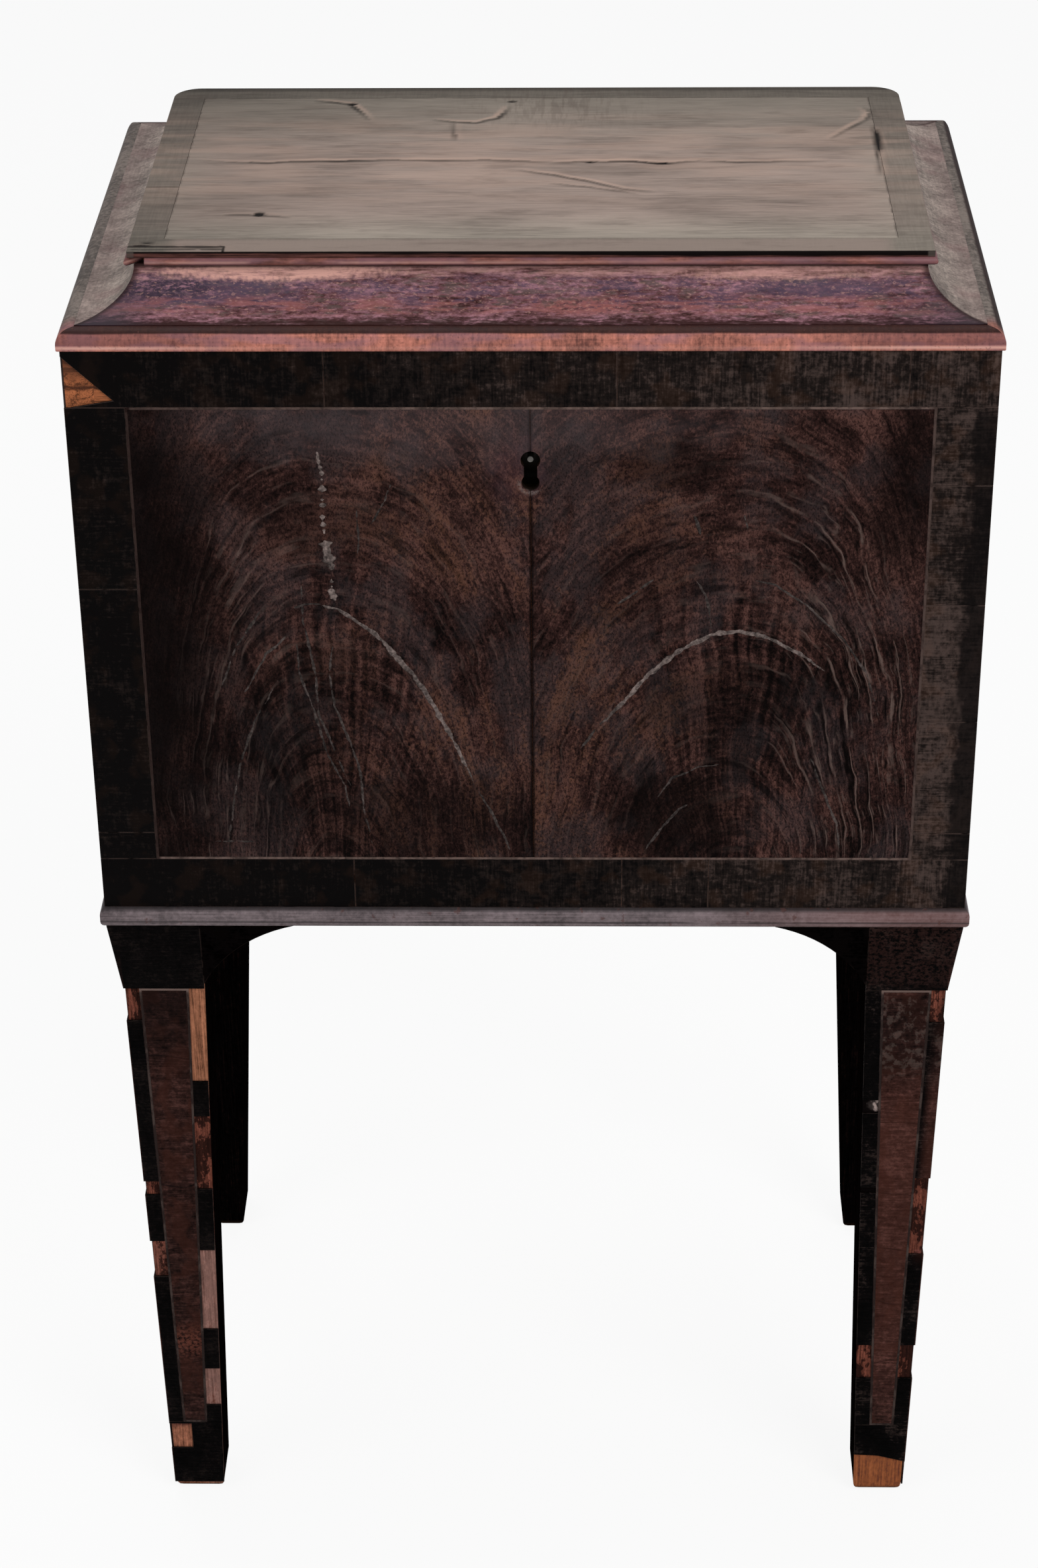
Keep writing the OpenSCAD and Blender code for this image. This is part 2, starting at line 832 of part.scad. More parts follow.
// Rectangle of a half width and a half depth, with its two rear corners rounded
module rounded_plan(x, y, r) {
    translate([-x, -y]) square([2 * x, 2 * y - r]);
    translate([r - x, -y]) square([2 * x - 2 * r, 2 * y]);
    for (side = [-1, 1])
        translate([side * (x - r), y - r]) circle(r = r);
}

module lid_top_board() {
    inner_w = half_w - nosing_in;
    inner_d = half_d - nosing_in;
    color("peru") union() {
        translate([0, 0, rail_top + nosing_h]) linear_extrude(top_t - nosing_h) top_plan(0);
        block([-inner_w, -inner_d, rail_top], [inner_w, inner_d, rail_top + nosing_h]);
    }
}

module lid_nosing(side) {
    u0 = top_inset - nosing_out;
    r = nosing_h / 2;
    intersection() {
        mitred(side) polygon(concat([[nosing_in, rail_top]],
            arc([u0 + r, rail_top + r], r, r, 270, 90, 8), [[nosing_in, rail_top + nosing_h]]));
        translate([0, 0, rail_top - past]) linear_extrude(nosing_h + 2 * past)
            top_plan(nosing_out);
    }
}

module lid_front_nosing() {
    color("#7a4640") difference() {
        lid_nosing(0);
        if (nosing_lost > 0)
            block([-half_w, -half_d, rail_top - past],
                [nosing_lost - top_x - nosing_out, -half_d + nosing_in + past,
                 rail_top + nosing_h + past]);
    }
}

module lid_right_nosing() {
    color("#7a5a52") lid_nosing(1);
}

module lid_back_nosing() {
    color("#7a5a52") lid_nosing(2);
}

module lid_left_nosing() {
    color("#7a5a52") lid_nosing(3);
}

module lid_top_field() {
    x = top_x - top_band_w - joint_gap;
    y = top_y - top_band_w - joint_gap;
    color("#958379") block([-x, -y, board_top], [x, y, board_top + veneer_t]);
}

// Crossbanding round the top, with a short let-in piece at the front left corner
module lid_top_bands() {
    x = top_x - top_band_w;
    y = top_y - top_band_w;
    patch_w = 46;
    patch_d = 5;
    cut = joint_gap / 2;
    color("#766a64") difference() {
        translate([0, 0, board_top]) linear_extrude(veneer_t) top_plan(0);
        block([-x, -y, board_top - past], [x, y, board_top + 2 * past]);
        for (side = [-1, 1], end = [-1, 1])
            block([side < 0 ? -half_w : x, end * y - cut, board_top - past],
                [side < 0 ? -x : half_w, end * y + cut, board_top + 2 * past]);
        block([-half_w, 0.27 * top_y - cut, board_top - past],
            [-x, 0.27 * top_y + cut, board_top + 2 * past]);
        block([-half_w, patch_d - top_y - cut, board_top - past],
            [patch_w - top_x, patch_d - top_y + cut, board_top + 2 * past]);
        block([patch_w - top_x - cut, -half_d, board_top - past],
            [patch_w - top_x + cut, patch_d - top_y, board_top + 2 * past]);
    }
}

// Link plate: two eyed hooks that drop through the lock's selvage
module link_plate() {
    color("goldenrod") difference() {
        union() {
            block([-link_w / 2, link_front, joint_z], [link_w / 2, link_back, joint_z + plate_t]);
            for (x = [-hook_x, hook_x])
                block([x - hook_w / 2, hook_front, joint_z - hook_l],
                    [x + hook_w / 2, hook_back, joint_z]);
        }
        for (x = [-hook_x, hook_x])
            block([x - hook_w, eye_front, eye_low], [x + hook_w, eye_back, eye_high]);
        at_link_screws() screw_hole();
    }
}

module lid_screws() {
    color("gray") {
        at_link_screws() screw();
        at_lid_hinge_screws() screw();
    }
}

// Stand: a platform board edged with the waist moulding, on four tenoned legs
module platform_board() {
    x = half_w - platform_in;
    y = half_d - platform_in;
    color("sienna") difference() {
        block([-x, -y, platform_z], [x, y, case_z]);
        for (sx = [-1, 1], sy = [-1, 1])
            translate([sx * tenon_x, sy * tenon_y, 0]) tenon(0);
    }
}

module tenon(extra) {
    block([-tenon_w / 2, -tenon_w / 2, platform_z - extra],
        [tenon_w / 2, tenon_w / 2, platform_z + tenon_l]);
}

module waist_strip(side) {
    r = 4;
    mitred(side) polygon(concat([[platform_in, platform_z]],
        arc([r - waist_out, platform_z + r], r, r, 270, 180, 5),
        arc([r - waist_out, case_z - r], r, r, 180, 90, 5), [[platform_in, case_z]]));
}

module waist_moulding_front() {
    color("#6b5c5c") waist_strip(0);
}

module waist_moulding_right() {
    color("#6b5c5c") waist_strip(1);
}

module waist_moulding_back() {
    color("#6b5c5c") waist_strip(2);
}

module waist_moulding_left() {
    color("#6b5c5c") waist_strip(3);
}

// Straight taper of a leg face between the floor and the knee
function taper(at_foot, at_knee, z) = at_foot + (at_knee - at_foot) * z / knee_z;

// Section of a leg across one direction, with its outer face drawn in by skin
function leg_section(half, knee_in, foot_in, knee, foot, skin) = let (
        inner_knee = half - knee_in - knee,
        inner_foot = half - foot_in - foot)
    concat(
        [[half - skin, leg_h], [half - knee_in - skin, knee_z]],
        arc([half - foot_in - skin - foot_r, foot_r], foot_r, foot_r, 0, -90, 5),
        arc([inner_foot + foot_r, foot_r], foot_r, foot_r, 270, 180, 5),
        [[inner_knee, knee_z], [inner_knee, leg_h]]);

function x_section(skin, foot) = leg_section(half_w, knee_in_x, foot_in_x, knee_w, foot, skin);
function y_section(skin) = leg_section(half_d, knee_in_y, foot_in_y, knee_d, foot_d, skin);

// A leg at +X +Y, mirrored into its own corner
module leg_quarter(skin_x, skin_y, foot) {
    intersection() {
        along_y(0, half_d) polygon(x_section(skin_x, foot));
        along_x(0, half_w) polygon(y_section(skin_y));
    }
    translate([tenon_x, tenon_y, 0]) tenon(past);
}

module corner(sx, sy) {
    mirror([sx < 0 ? 1 : 0, 0, 0]) mirror([0, sy < 0 ? 1 : 0, 0]) children();
}

module front_left_leg() {
    color("#b0714a") corner(-1, -1) leg_quarter(veneer_t, veneer_t, foot_w);
}

module front_right_leg() {
    color("#b0714a") corner(1, -1) leg_quarter(veneer_t, veneer_t, foot_w);
}

module rear_left_leg() {
    color("#3a2a24") corner(-1, 1) leg_quarter(veneer_t, 0, rear_foot_w);
}

module rear_right_leg() {
    color("#3a2a24") corner(1, 1) leg_quarter(veneer_t, 0, rear_foot_w);
}

// Hollow edge of a bracket, from its toe under the platform to its heel on the leg
module bracket_side(heel) {
    toe = heel - bracket_w;
    chord = sqrt(pow(bracket_w, 2) + pow(bracket_h, 2));
    back = sqrt(pow(bracket_r, 2) - pow(chord / 2, 2));
    difference() {
        translate([toe, leg_h - bracket_h]) square([bracket_w, bracket_h]);
        translate([toe + bracket_w / 2 - back * bracket_h / chord,
            leg_h - bracket_h / 2 - back * bracket_w / chord]) circle(r = bracket_r, $fn = 96);
    }
}

// Section of a bracket across its thickness, flush with the leg's flared face
function bracket_depth(half, knee_in) = [[half, leg_h],
    [half - knee_in * bracket_h / block_h, leg_h - bracket_h],
    [half - knee_in - bracket_t, leg_h - bracket_h], [half - knee_in - bracket_t, leg_h]];

module leg_brackets() {
    color("#3a2a24") for (sx = [-1, 1], sy = [-1, 1]) corner(sx, sy) {
        intersection() {
            along_y(0, half_d) bracket_side(bracket_x);
            along_x(0, half_w) polygon(bracket_depth(half_d, knee_in_y));
        }
        intersection() {
            along_x(0, half_w) bracket_side(bracket_y);
            along_y(0, half_d) polygon(bracket_depth(half_w, knee_in_x));
        }
    }
}

// Glue blocks in the corner behind the front and rear brackets
module glue_blocks() {
    y0 = half_d - knee_in_y - bracket_t;
    color("burlywood") for (sx = [-1, 1], sy = [-1, 1]) corner(sx, sy)
        translate([0, 0, platform_z - glue_block]) linear_extrude(glue_block)
            polygon([[bracket_x, y0], [bracket_x - glue_block, y0], [bracket_x, y0 - glue_block]]);
}

// Skin of veneer on a leg's outer face, as a section between two leg sections
function skin_section(half, knee_in, foot_in) = [[half, leg_h], [half - knee_in, knee_z],
    [half - taper(foot_in, knee_in, foot_r), foot_r],
    [half - taper(foot_in, knee_in, foot_r) - veneer_t, foot_r],
    [half - knee_in - veneer_t, knee_z], [half - veneer_t, leg_h]];

// Outer and inner edges of a leg's front face at a height below the knee
function leg_outer(z) = half_w - taper(foot_in_x, knee_in_x, z);
function leg_inner(z) = half_w - taper(foot_in_x + foot_w, knee_in_x + knee_w, z);

function leg_front(z) = half_d - taper(foot_in_y, knee_in_y, z);

// A length of a leg's front face between two offsets from its edges
function face_piece(z0, z1, from_outer, from_inner) = [[leg_outer(z0) - from_outer, z0],
    [leg_inner(z0) + from_inner, z0], [leg_inner(z1) + from_inner, z1],
    [leg_outer(z1) - from_outer, z1]];

module on_front_face() {
    intersection() {
        along_x(0, half_w) polygon(skin_section(half_d, knee_in_y, foot_in_y));
        along_y(0, half_d) children();
    }
}

// Edge banding down one edge of a leg's front face, less its lost lengths
module edge_banding(from_outer, from_inner, lost) {
    low = cuff_h + joint_gap;
    high = knee_z - joint_gap;
    on_front_face() difference() {
        polygon(face_piece(low, high, 0, 0));
        polygon(face_piece(low - past, high + past, from_outer, from_inner));
        for (span = lost)
            translate([0, span[0] * leg_h]) square([half_w, (span[1] - span[0]) * leg_h]);
    }
}

// Front face of a leg: block, panel, edge banding and cuff. The child is the cuff's lost part.
module leg_front_veneer(lost_outer, lost_inner) {
    panel_in = edge_w + string_w;
    on_front_face() polygon([[half_w, leg_h], [half_w - knee_in_x, knee_z],
        [bracket_x, knee_z], [bracket_x, leg_h]]);
    on_front_face() polygon(face_piece(cuff_h + string_w, knee_z - string_w, panel_in, panel_in));
    edge_banding(edge_w, -past, lost_outer);
    edge_banding(-past, edge_w, lost_inner);
    on_front_face() difference() {
        polygon(face_piece(foot_r, cuff_h, 0, 0));
        children();
    }
}

// Outer side face of a leg, with its losses along the front edge
module leg_side_veneer(skin_y, lost) {
    difference() {
        intersection() {
            along_y(0, half_d) polygon(skin_section(half_w, knee_in_x, foot_in_x));
            along_x(0, half_w) polygon(y_section(skin_y));
        }
        for (span = lost) {
            low = span[0] * leg_h;
            high = min(span[1] * leg_h, knee_z);
            block([0, leg_front(low) - side_loss, low], [half_w + past, half_d + past, high]);
        }
    }
}

module front_left_leg_veneer() {
    color("#3d2a22") corner(-1, -1) {
        leg_front_veneer(LOST_LEFT_OUTER, LOST_LEFT_INNER)
            translate([leg_outer(0) - 12, 0.62 * cuff_h]) square([14, 0.35 * cuff_h]);
        leg_side_veneer(veneer_t + joint_gap, LOST_LEFT_OUTER);
    }
}

module front_right_leg_veneer() {
    color("#3d2a22") corner(1, -1) {
        leg_front_veneer(LOST_RIGHT_OUTER, LOST_RIGHT_INNER)
            polygon([[0, 0], [half_w, 0], [half_w, 0.4 * cuff_h],
                [leg_inner(0) + 0.45 * foot_w, 0.55 * cuff_h], [0, 0.75 * cuff_h]]);
        leg_side_veneer(veneer_t + joint_gap, LOST_RIGHT_OUTER);
    }
}

module rear_leg_veneers() {
    color("#3d2a22") for (sx = [-1, 1]) corner(sx, 1) leg_side_veneer(0, []);
}

module leg_stringing() {
    color("tan") for (sx = [-1, 1]) corner(sx, -1)
        on_front_face() difference() {
            polygon(face_piece(cuff_h, knee_z, edge_w, edge_w));
            polygon(face_piece(cuff_h + string_w, knee_z - string_w, edge_w + string_w,
                edge_w + string_w));
        }
}

case_front_board();
case_back_board();
case_left_board();
case_right_board();
case_bottom_board();
long_divider();
cross_dividers();
front_field_left();
front_field_right();
front_band_top();
front_band_bottom();
front_band_left();
front_band_right();
front_stringing();
left_side_veneer();
right_side_veneer();
lock_back_plate();
lock_case_walls();
lock_cap();
lock_drill_pin();
case_screws();
hinge_case_leaves();
hinge_pins();
platform_board();
waist_moulding_front();
waist_moulding_right();
waist_moulding_back();
waist_moulding_left();
front_left_leg();
front_right_leg();
rear_left_leg();
rear_right_leg();
leg_brackets();
glue_blocks();
front_left_leg_veneer();
front_right_leg_veneer();
rear_leg_veneers();
leg_stringing();
lock_bolt();
bolt_spring();
lid_front_rail();
lid_right_rail();
lid_back_rail();
lid_left_rail();
lid_front_bead();
lid_right_bead();
lid_back_bead();
lid_left_bead();
lid_top_board();
lid_top_field();
lid_top_bands();
lid_front_nosing();
lid_right_nosing();
lid_back_nosing();
lid_left_nosing();
link_plate();
lid_screws();
hinge_lid_leaves();
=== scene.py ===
"""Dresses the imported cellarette: its worn veneers, mouldings, brass and a plain studio."""
import json
import math
import random
from functools import partialmethod, reduce

import bmesh
import bpy
import numpy as np
from mathutils import Matrix, Vector

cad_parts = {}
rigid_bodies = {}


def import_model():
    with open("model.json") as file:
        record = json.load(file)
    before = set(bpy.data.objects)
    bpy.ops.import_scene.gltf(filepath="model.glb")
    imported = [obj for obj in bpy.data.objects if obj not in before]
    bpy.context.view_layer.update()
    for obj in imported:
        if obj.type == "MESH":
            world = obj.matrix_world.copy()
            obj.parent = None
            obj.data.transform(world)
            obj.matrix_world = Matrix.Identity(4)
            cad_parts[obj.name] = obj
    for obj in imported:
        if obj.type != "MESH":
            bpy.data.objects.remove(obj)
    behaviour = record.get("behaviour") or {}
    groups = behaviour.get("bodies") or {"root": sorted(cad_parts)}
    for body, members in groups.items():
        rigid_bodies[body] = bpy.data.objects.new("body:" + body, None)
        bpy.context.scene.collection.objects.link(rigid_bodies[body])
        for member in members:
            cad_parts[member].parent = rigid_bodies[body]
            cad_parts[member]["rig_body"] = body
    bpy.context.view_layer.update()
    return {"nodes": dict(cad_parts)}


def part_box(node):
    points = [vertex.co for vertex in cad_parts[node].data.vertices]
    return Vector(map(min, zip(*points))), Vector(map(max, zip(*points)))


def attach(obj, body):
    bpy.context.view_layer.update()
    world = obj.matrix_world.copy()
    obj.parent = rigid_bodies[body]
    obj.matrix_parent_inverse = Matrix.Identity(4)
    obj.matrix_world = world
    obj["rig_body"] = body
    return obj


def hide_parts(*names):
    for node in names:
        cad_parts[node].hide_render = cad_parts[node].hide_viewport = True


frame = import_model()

bl_info = {
    "name": "Cellarette finish",
    "version": (1, 0, 0),
    "blender": (4, 5, 0),
    "location": "View3D > Sidebar > Cellarette",
    "description": "Gives a small veneered bottle chest its worn woods, metals and studio",
    "category": "Object",
}

MM = 0.001
LEFT = -1
RIGHT = 1
REAR = 0
X_AXIS = 0
Y_AXIS = 1
Z_AXIS = 2
LOW = 0
HIGH = 1


def level(node, end, axis):
    """Lowest or highest coordinate of a CAD node, in millimetres"""
    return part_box(node)[end][axis] / MM


# Levels and lines of the chest, in millimetres, read from the frame
JOINT_Z = level("case_left_board", HIGH, Z_AXIS)
CASE_Z = level("case_left_board", LOW, Z_AXIS)
FRONT_Y = level("front_field_left", LOW, Y_AXIS)
HALF_W = level("front_band_right", HIGH, X_AXIS)
STRING_X = level("front_stringing", HIGH, X_AXIS)
STRING_TOP = level("front_stringing", HIGH, Z_AXIS)
BEAD_TOP = level("lid_front_bead", HIGH, Z_AXIS)
RAIL_TOP = level("lid_front_rail", HIGH, Z_AXIS)
RAIL_OUT_X = level("lid_right_rail", HIGH, X_AXIS)
RAIL_OUT_Y = level("lid_back_rail", HIGH, Y_AXIS)
RAIL_IN_X = -level("lid_left_rail", HIGH, X_AXIS)
RAIL_IN_Y = -level("lid_front_rail", HIGH, Y_AXIS)
BOARD_TOP = level("lid_top_field", LOW, Z_AXIS)
TOP_Z = level("lid_top_field", HIGH, Z_AXIS)
FIELD_X = level("lid_top_field", HIGH, X_AXIS)
FIELD_Y = level("lid_top_field", HIGH, Y_AXIS)
TOP_X = level("lid_top_bands", HIGH, X_AXIS)
TOP_Y = level("lid_top_bands", HIGH, Y_AXIS)
WAIST_LOW = level("waist_moulding_front", LOW, Z_AXIS)
WAIST_TOP = level("waist_moulding_front", HIGH, Z_AXIS)
KNEE_Z = level("leg_stringing", HIGH, Z_AXIS)
CUFF_Z = level("leg_stringing", LOW, Z_AXIS)
# How far in a cove's curve reaches, and the middle of the keyhole's round foot
COVE_DEPTH = 27
KEY_FOOT_Z = JOINT_Z - 69.4


def srgb(red, green, blue):
    """Linear colour of a colour given as the eye sees it, from 0 to 255"""
    parts = (value / 255 for value in (red, green, blue))
    return tuple(v / 12.92 if v <= 0.04045 else ((v + 0.055) / 1.055) ** 2.4 for v in parts)


# Rust on the steel, and the grey to which the lid's top has bleached towards its edges
RUST = srgb(84, 52, 36)
EDGE_GREY = srgb(112, 107, 97)


def colour(name, description, *eye):
    """A colour property whose default is given as the eye sees it"""
    return bpy.props.FloatVectorProperty(name=name, description=description, subtype="COLOR",
                                         size=3, min=0, max=1, default=srgb(*eye))


def length(name, description, millimetres):
    """A length property whose default is given in millimetres"""
    return bpy.props.FloatProperty(name=name, description=description, unit="LENGTH", min=0,
                                   precision=5, default=millimetres * MM)


class CellaretteColours(bpy.types.PropertyGroup):
    """Colours of the woods, the polish and the metals"""

    field_dark: colour("Figured veneer, dark", "Darkest polish of the front's leaves", 20, 11, 10)
    field_mid: colour("Figured veneer, middle", "Usual tone of the front's leaves", 50, 31, 28)
    field_light: colour("Figured veneer, light", "Palest arches of the front's leaves", 86, 58, 52)
    field_gold: colour("Figured veneer, golden", "Streaks where the polish is thin", 92, 60, 41)
    band_dark: colour("Crossbanding, dark", "Darkest crossbanding of the front", 11, 8, 8)
    band_light: colour("Crossbanding, light", "Worn crossbanding of the front", 62, 50, 46)
    string_pale: colour("Stringing", "Inlaid line, where it is clean", 126, 104, 96)
    bare_orange: colour("Bare wood", "Ground wood where veneer is lost", 176, 104, 66)
    bare_red: colour("Bare wood, red", "Redder ground wood of the legs", 148, 86, 70)
    bare_tan: colour("Bare wood, tan", "Paler ground wood high on the legs and at the cuffs", 132, 86, 64)
    case_inside: colour("Inside wood", "Unpolished wood inside the case", 112, 78, 52)
    pale_wood: colour("Secondary wood", "Bottom, platform and blocks", 146, 112, 76)
    partition: colour("Partitions", "Dusty thin boards between the bottles", 98, 66, 44)
    side_brown: colour("Side veneer", "Plain veneer of the sides", 66, 46, 40)
    cove_red: colour("Cove, red", "Red-brown polish of the front cove", 120, 76, 80)
    cove_violet: colour("Cove, violet", "Hazed violet polish of the front cove", 88, 72, 92)
    cove_ember: colour("Cove, ember", "Bright red streaks low on the front cove", 136, 80, 74)
    cove_mauve: colour("Cove, mauve", "Thin mauve polish of the front cove", 128, 90, 98)
    # Peach of thin polish and of bare leg wood, also laid as painted highlight on the front cove's crest,
    # the beads and the nosing
    peach_tone_and_highlight: colour("Cove, crest", "Polish rubbed thin at the crests", 190, 144, 132)
    # Dark polish at the cove's toe, also laid as painted shade in creases, beside the mitres, under the
    # nosing and under the top's veneer
    toe_polish_and_shade: colour("Cove, toe", "Dark polish gathered along the cove's toe", 62, 28, 24)
    cove_dusty: colour("Cove, dusty", "Worn, dusty coves of the sides and the back", 128, 116, 108)
    bead_salmon: colour("Bead", "Rubbed reddish bead round the lid", 178, 112, 96)
    nosing_red: colour("Nosing", "Strip under the edge of the top", 128, 80, 72)
    top_bare: colour("Lid top", "Bleached veneer of the lid's top", 146, 129, 119)
    # Also laid as painted highlight on the crests of the top's lifted cracks
    top_warm: colour("Lid top, warm", "Rubbed warm streaks of the lid's top", 172, 144, 128)
    top_band: colour("Lid banding", "Bleached crossbanding of the lid's top", 127, 112, 103)
    # Stains of the lid's top, also laid as painted shadow before its lifted cracks and on the banding's edge
    top_stains_and_shadow: colour("Lid stains", "Stains and dirty cracks of the lid's top", 74, 62, 56)
    waist_mauve: colour("Waist moulding", "Greyed, worn waist moulding", 128, 114, 116)
    leg_dark: colour("Leg veneer, dark", "Blocks, cuffs and edge banding of the legs", 16, 12, 12)
    leg_panel: colour("Leg veneer, panel", "Cross-grained panels of the legs", 74, 47, 42)
    brass: colour("Brass", "Tarnished brass of the lock and hinges", 178, 140, 78)
    steel: colour("Steel", "Worn bright steel", 168, 162, 156)
    filler: colour("Filler", "Pale dust and old glue in the cracks", 144, 127, 121)
    floor: colour("Floor", "Plain pale floor of the studio", 232, 231, 229)


class CellaretteSizes(bpy.types.PropertyGroup):
    """Sizes of the wear and the relief"""

    board_arris: length("Board arris", "Width of the eased arrises of boards and mouldings", 0.7)
    veneer_arris: length("Veneer arris", "Width of the eased arrises of veneer", 0.22)
    metal_arris: length("Metal arris", "Width of the eased arrises of the brass and steel", 0.15)
    crack_width: length("Crack width", "Full width of a crack's pale filler", 0.9)
    top_grid: length("Top grid", "Spacing of the points that shape the lid's top veneer", 1.1)
    top_drop: length("Top drop", "How far the flat of the top veneer lies below its highest ridge", 0.66)


class Value:
    """A socket that takes part in arithmetic; each operation adds one Math node"""

    def __init__(self, nodes, socket):
        self.nodes = nodes
        self.socket = socket

    def math(self, operation, *others):
        """A Math node on this value and the others"""
        return self.nodes.node("ShaderNodeMath", {"operation": operation}, [self, *others])

    def __rsub__(self, other):
        return self.nodes.node("ShaderNodeMath", {"operation": "SUBTRACT"}, [other, self])

    __add__ = __radd__ = partialmethod(math, "ADD")
    __sub__ = partialmethod(math, "SUBTRACT")
    __mul__ = __rmul__ = partialmethod(math, "MULTIPLY")
    __truediv__ = partialmethod(math, "DIVIDE")
    __pow__ = partialmethod(math, "POWER")
    __abs__ = partialmethod(math, "ABSOLUTE")
    least = partialmethod(math, "MINIMUM")
    most = partialmethod(math, "MAXIMUM")

    def rise(self, start, end):
        """0 at start and 1 at end, with a smooth step between; start may lie above end"""
        return self.nodes.node("ShaderNodeMapRange", {"interpolation_type": "SMOOTHSTEP"},
                               {"Value": self, "From Min": start, "From Max": end})

    def within(self, low, high, soft):
        """1 between low and high, 0 outside, with soft sides"""
        return self.rise(low - soft, low + soft) * self.rise(high + soft, high - soft)

    def near(self, centre, reach):
        """1 at centre, falling to 0 at that reach"""
        return abs(self - centre).rise(reach, 0)


class Nodes:
    """A node tree in the making"""

    def __init__(self, tree):
        self.tree = tree
        tree.nodes.clear()

    def node(self, kind, settings=None, inputs=(), output=0):
        """Adds a node, makes its settings, fills or links its inputs and returns one output"""
        made = self.tree.nodes.new(kind)
        for key, value in (settings or {}).items():
            setattr(made, key, value)
        for key, value in inputs.items() if isinstance(inputs, dict) else enumerate(inputs):
            socket = made.inputs[key]
            if isinstance(value, Value):
                self.tree.links.new(value.socket, socket)
            else:
                socket.default_value = (*value, 1.0) if socket.type == "RGBA" else value
        return Value(self, made.outputs[output])

    def vector(self, x, y, z):
        """A vector from three values"""
        return self.node("ShaderNodeCombineXYZ", None, [x, y, z])

    def vector_math(self, operation, first, second):
        """A Vector Math node on two vectors"""
        return self.node("ShaderNodeVectorMath", {"operation": operation}, [first, second])

    def end(self, kind, shader):
        """Connects the last shader to the tree's output"""
        self.tree.links.new(shader.socket, self.tree.nodes.new(kind).inputs["Surface"])


# How far apart the patches of noise for two seeds lie, along x, y and z
SEED_STEP = (7.31, 3.17, 5.73)


def drawn_out(along, fine, run):
    """A size that is long along one axis and fine across it"""
    return [run if axis == along else fine for axis in (X_AXIS, Y_AXIS, Z_AXIS)]


class Look(Nodes):
    """One material on the object's own coordinates in millimetres, laid colour over colour"""

    def __init__(self, name):
        self.material = bpy.data.materials.new(name)
        self.material.use_nodes = True
        super().__init__(self.material.node_tree)
        place = self.node("ShaderNodeTexCoord", output="Object")
        self.mm = self.node("ShaderNodeVectorMath", {"operation": "SCALE"}, {0: place, "Scale": 1 / MM})
        self.x, self.y, self.z = (self.node("ShaderNodeSeparateXYZ", None, [self.mm], axis)
                                  for axis in "XYZ")
        self.base = None

    def place(self, size, seed, at=None):
        """Coordinates in units of a size, moved to the seed's own patch"""
        place = self.vector_math("DIVIDE", at or self.mm, size)
        return self.vector_math("ADD", place, [seed * step for step in SEED_STEP])

    def noise(self, size, seed, detail=2.0, rough=0.5, bend=0.0, at=None):
        """Fractal noise whose blotches measure about size, in millimetres, in all or each direction"""
        size = (size, size, size) if isinstance(size, (int, float)) else size
        return self.node("ShaderNodeTexNoise", {"noise_dimensions": "3D"},
                         {"Vector": self.place(size, seed, at), "Scale": 1.0, "Detail": detail,
                          "Roughness": rough, "Distortion": bend})

    def streaks(self, along, fine, run, seed, detail=3):
        """Noise drawn out along one axis"""
        return self.noise(drawn_out(along, fine, run), seed, detail, 0.6)

    def rings(self, size, count, seed, detail=3, bend=0.4):
        """Growth rings, 0 to 1, in wavy sheets"""
        return (self.noise(size, seed, detail, bend=bend) * count).math("SINE") * 0.5 + 0.5

    def craze(self, size, seed, width=0.05):
        """1 on the borders of irregular cells of that size, as crazed polish has"""
        edge = self.node("ShaderNodeTexVoronoi", {"feature": "DISTANCE_TO_EDGE"},
                         {"Vector": self.place((size, size, size), seed), "Scale": 1.0})
        return edge.rise(width, 0)

    def attribute(self, name):
        """A value stored on the mesh"""
        return self.node("ShaderNodeAttribute", {"attribute_name": name}, output="Fac")

    def blotch(self, here, middle_across, middle_up, reach_across, reach_up, ragged=0.5):
        """A soft, ragged stain at a place on a face, where here is a pair of coordinates"""
        wide = (here[0] - middle_across) / reach_across
        high = (here[1] - middle_up) / reach_up
        edge = self.noise(min(reach_across, reach_up) * 0.45, 13, 4) - 0.5
        return (wide * wide + high * high + edge * (4 * ragged)).rise(1.25, 0.1)

    def blotches(self, here, spots):
        """The strongest of several stains, each with its weight last"""
        return reduce(Value.most, (self.blotch(here, *spot) * weight for *spot, weight in spots))

    def mix(self, share, first, second, blend="MIX"):
        """Two colours mixed; either may be a fixed colour"""
        return self.node("ShaderNodeMix", {"data_type": "RGBA", "blend_type": blend,
                                           "clamp_factor": True}, {0: share, 6: first, 7: second}, 2)

    def lay(self, share, tone, blend="MIX"):
        """Lays a colour over the base by a share"""
        self.base = self.mix(share, self.base, tone, blend)

    def deepen(self, share, depth):
        """Multiplies the base towards depth, a grey level, by a share"""
        self.lay(share, (depth, depth, depth), "MULTIPLY")

    def ramp(self, value, *stops):
        """A colour ramp over a value; each stop is a place and a colour"""
        made = self.node("ShaderNodeValToRGB", None, [value])
        elements = made.socket.node.color_ramp.elements
        while len(elements) < len(stops):
            elements.new(0.5)
        for element, (place, tone) in zip(elements, stops):
            element.position = place
            element.color = (*tone, 1.0)
        return made

    def shades(self, value, tone, *stops):
        """A ramp over shades of one colour; each stop is a place and a strength"""
        return self.ramp(value, *((place, tone * strength) for place, strength in stops))

    def finish(self, rough, height, specular, metallic=0.0):
        """Ends the tree in a Principled surface; height is the relief in millimetres"""
        normal = self.node("ShaderNodeBump", None, {"Strength": 1.0, "Distance": MM, "Height": height},
                           "Normal")
        self.end("ShaderNodeOutputMaterial",
                 self.node("ShaderNodeBsdfPrincipled", None,
                           {"Base Color": self.base, "Roughness": rough, "Specular IOR Level": specular,
                            "Metallic": metallic, "Normal": normal}, "BSDF"))
        return self.material


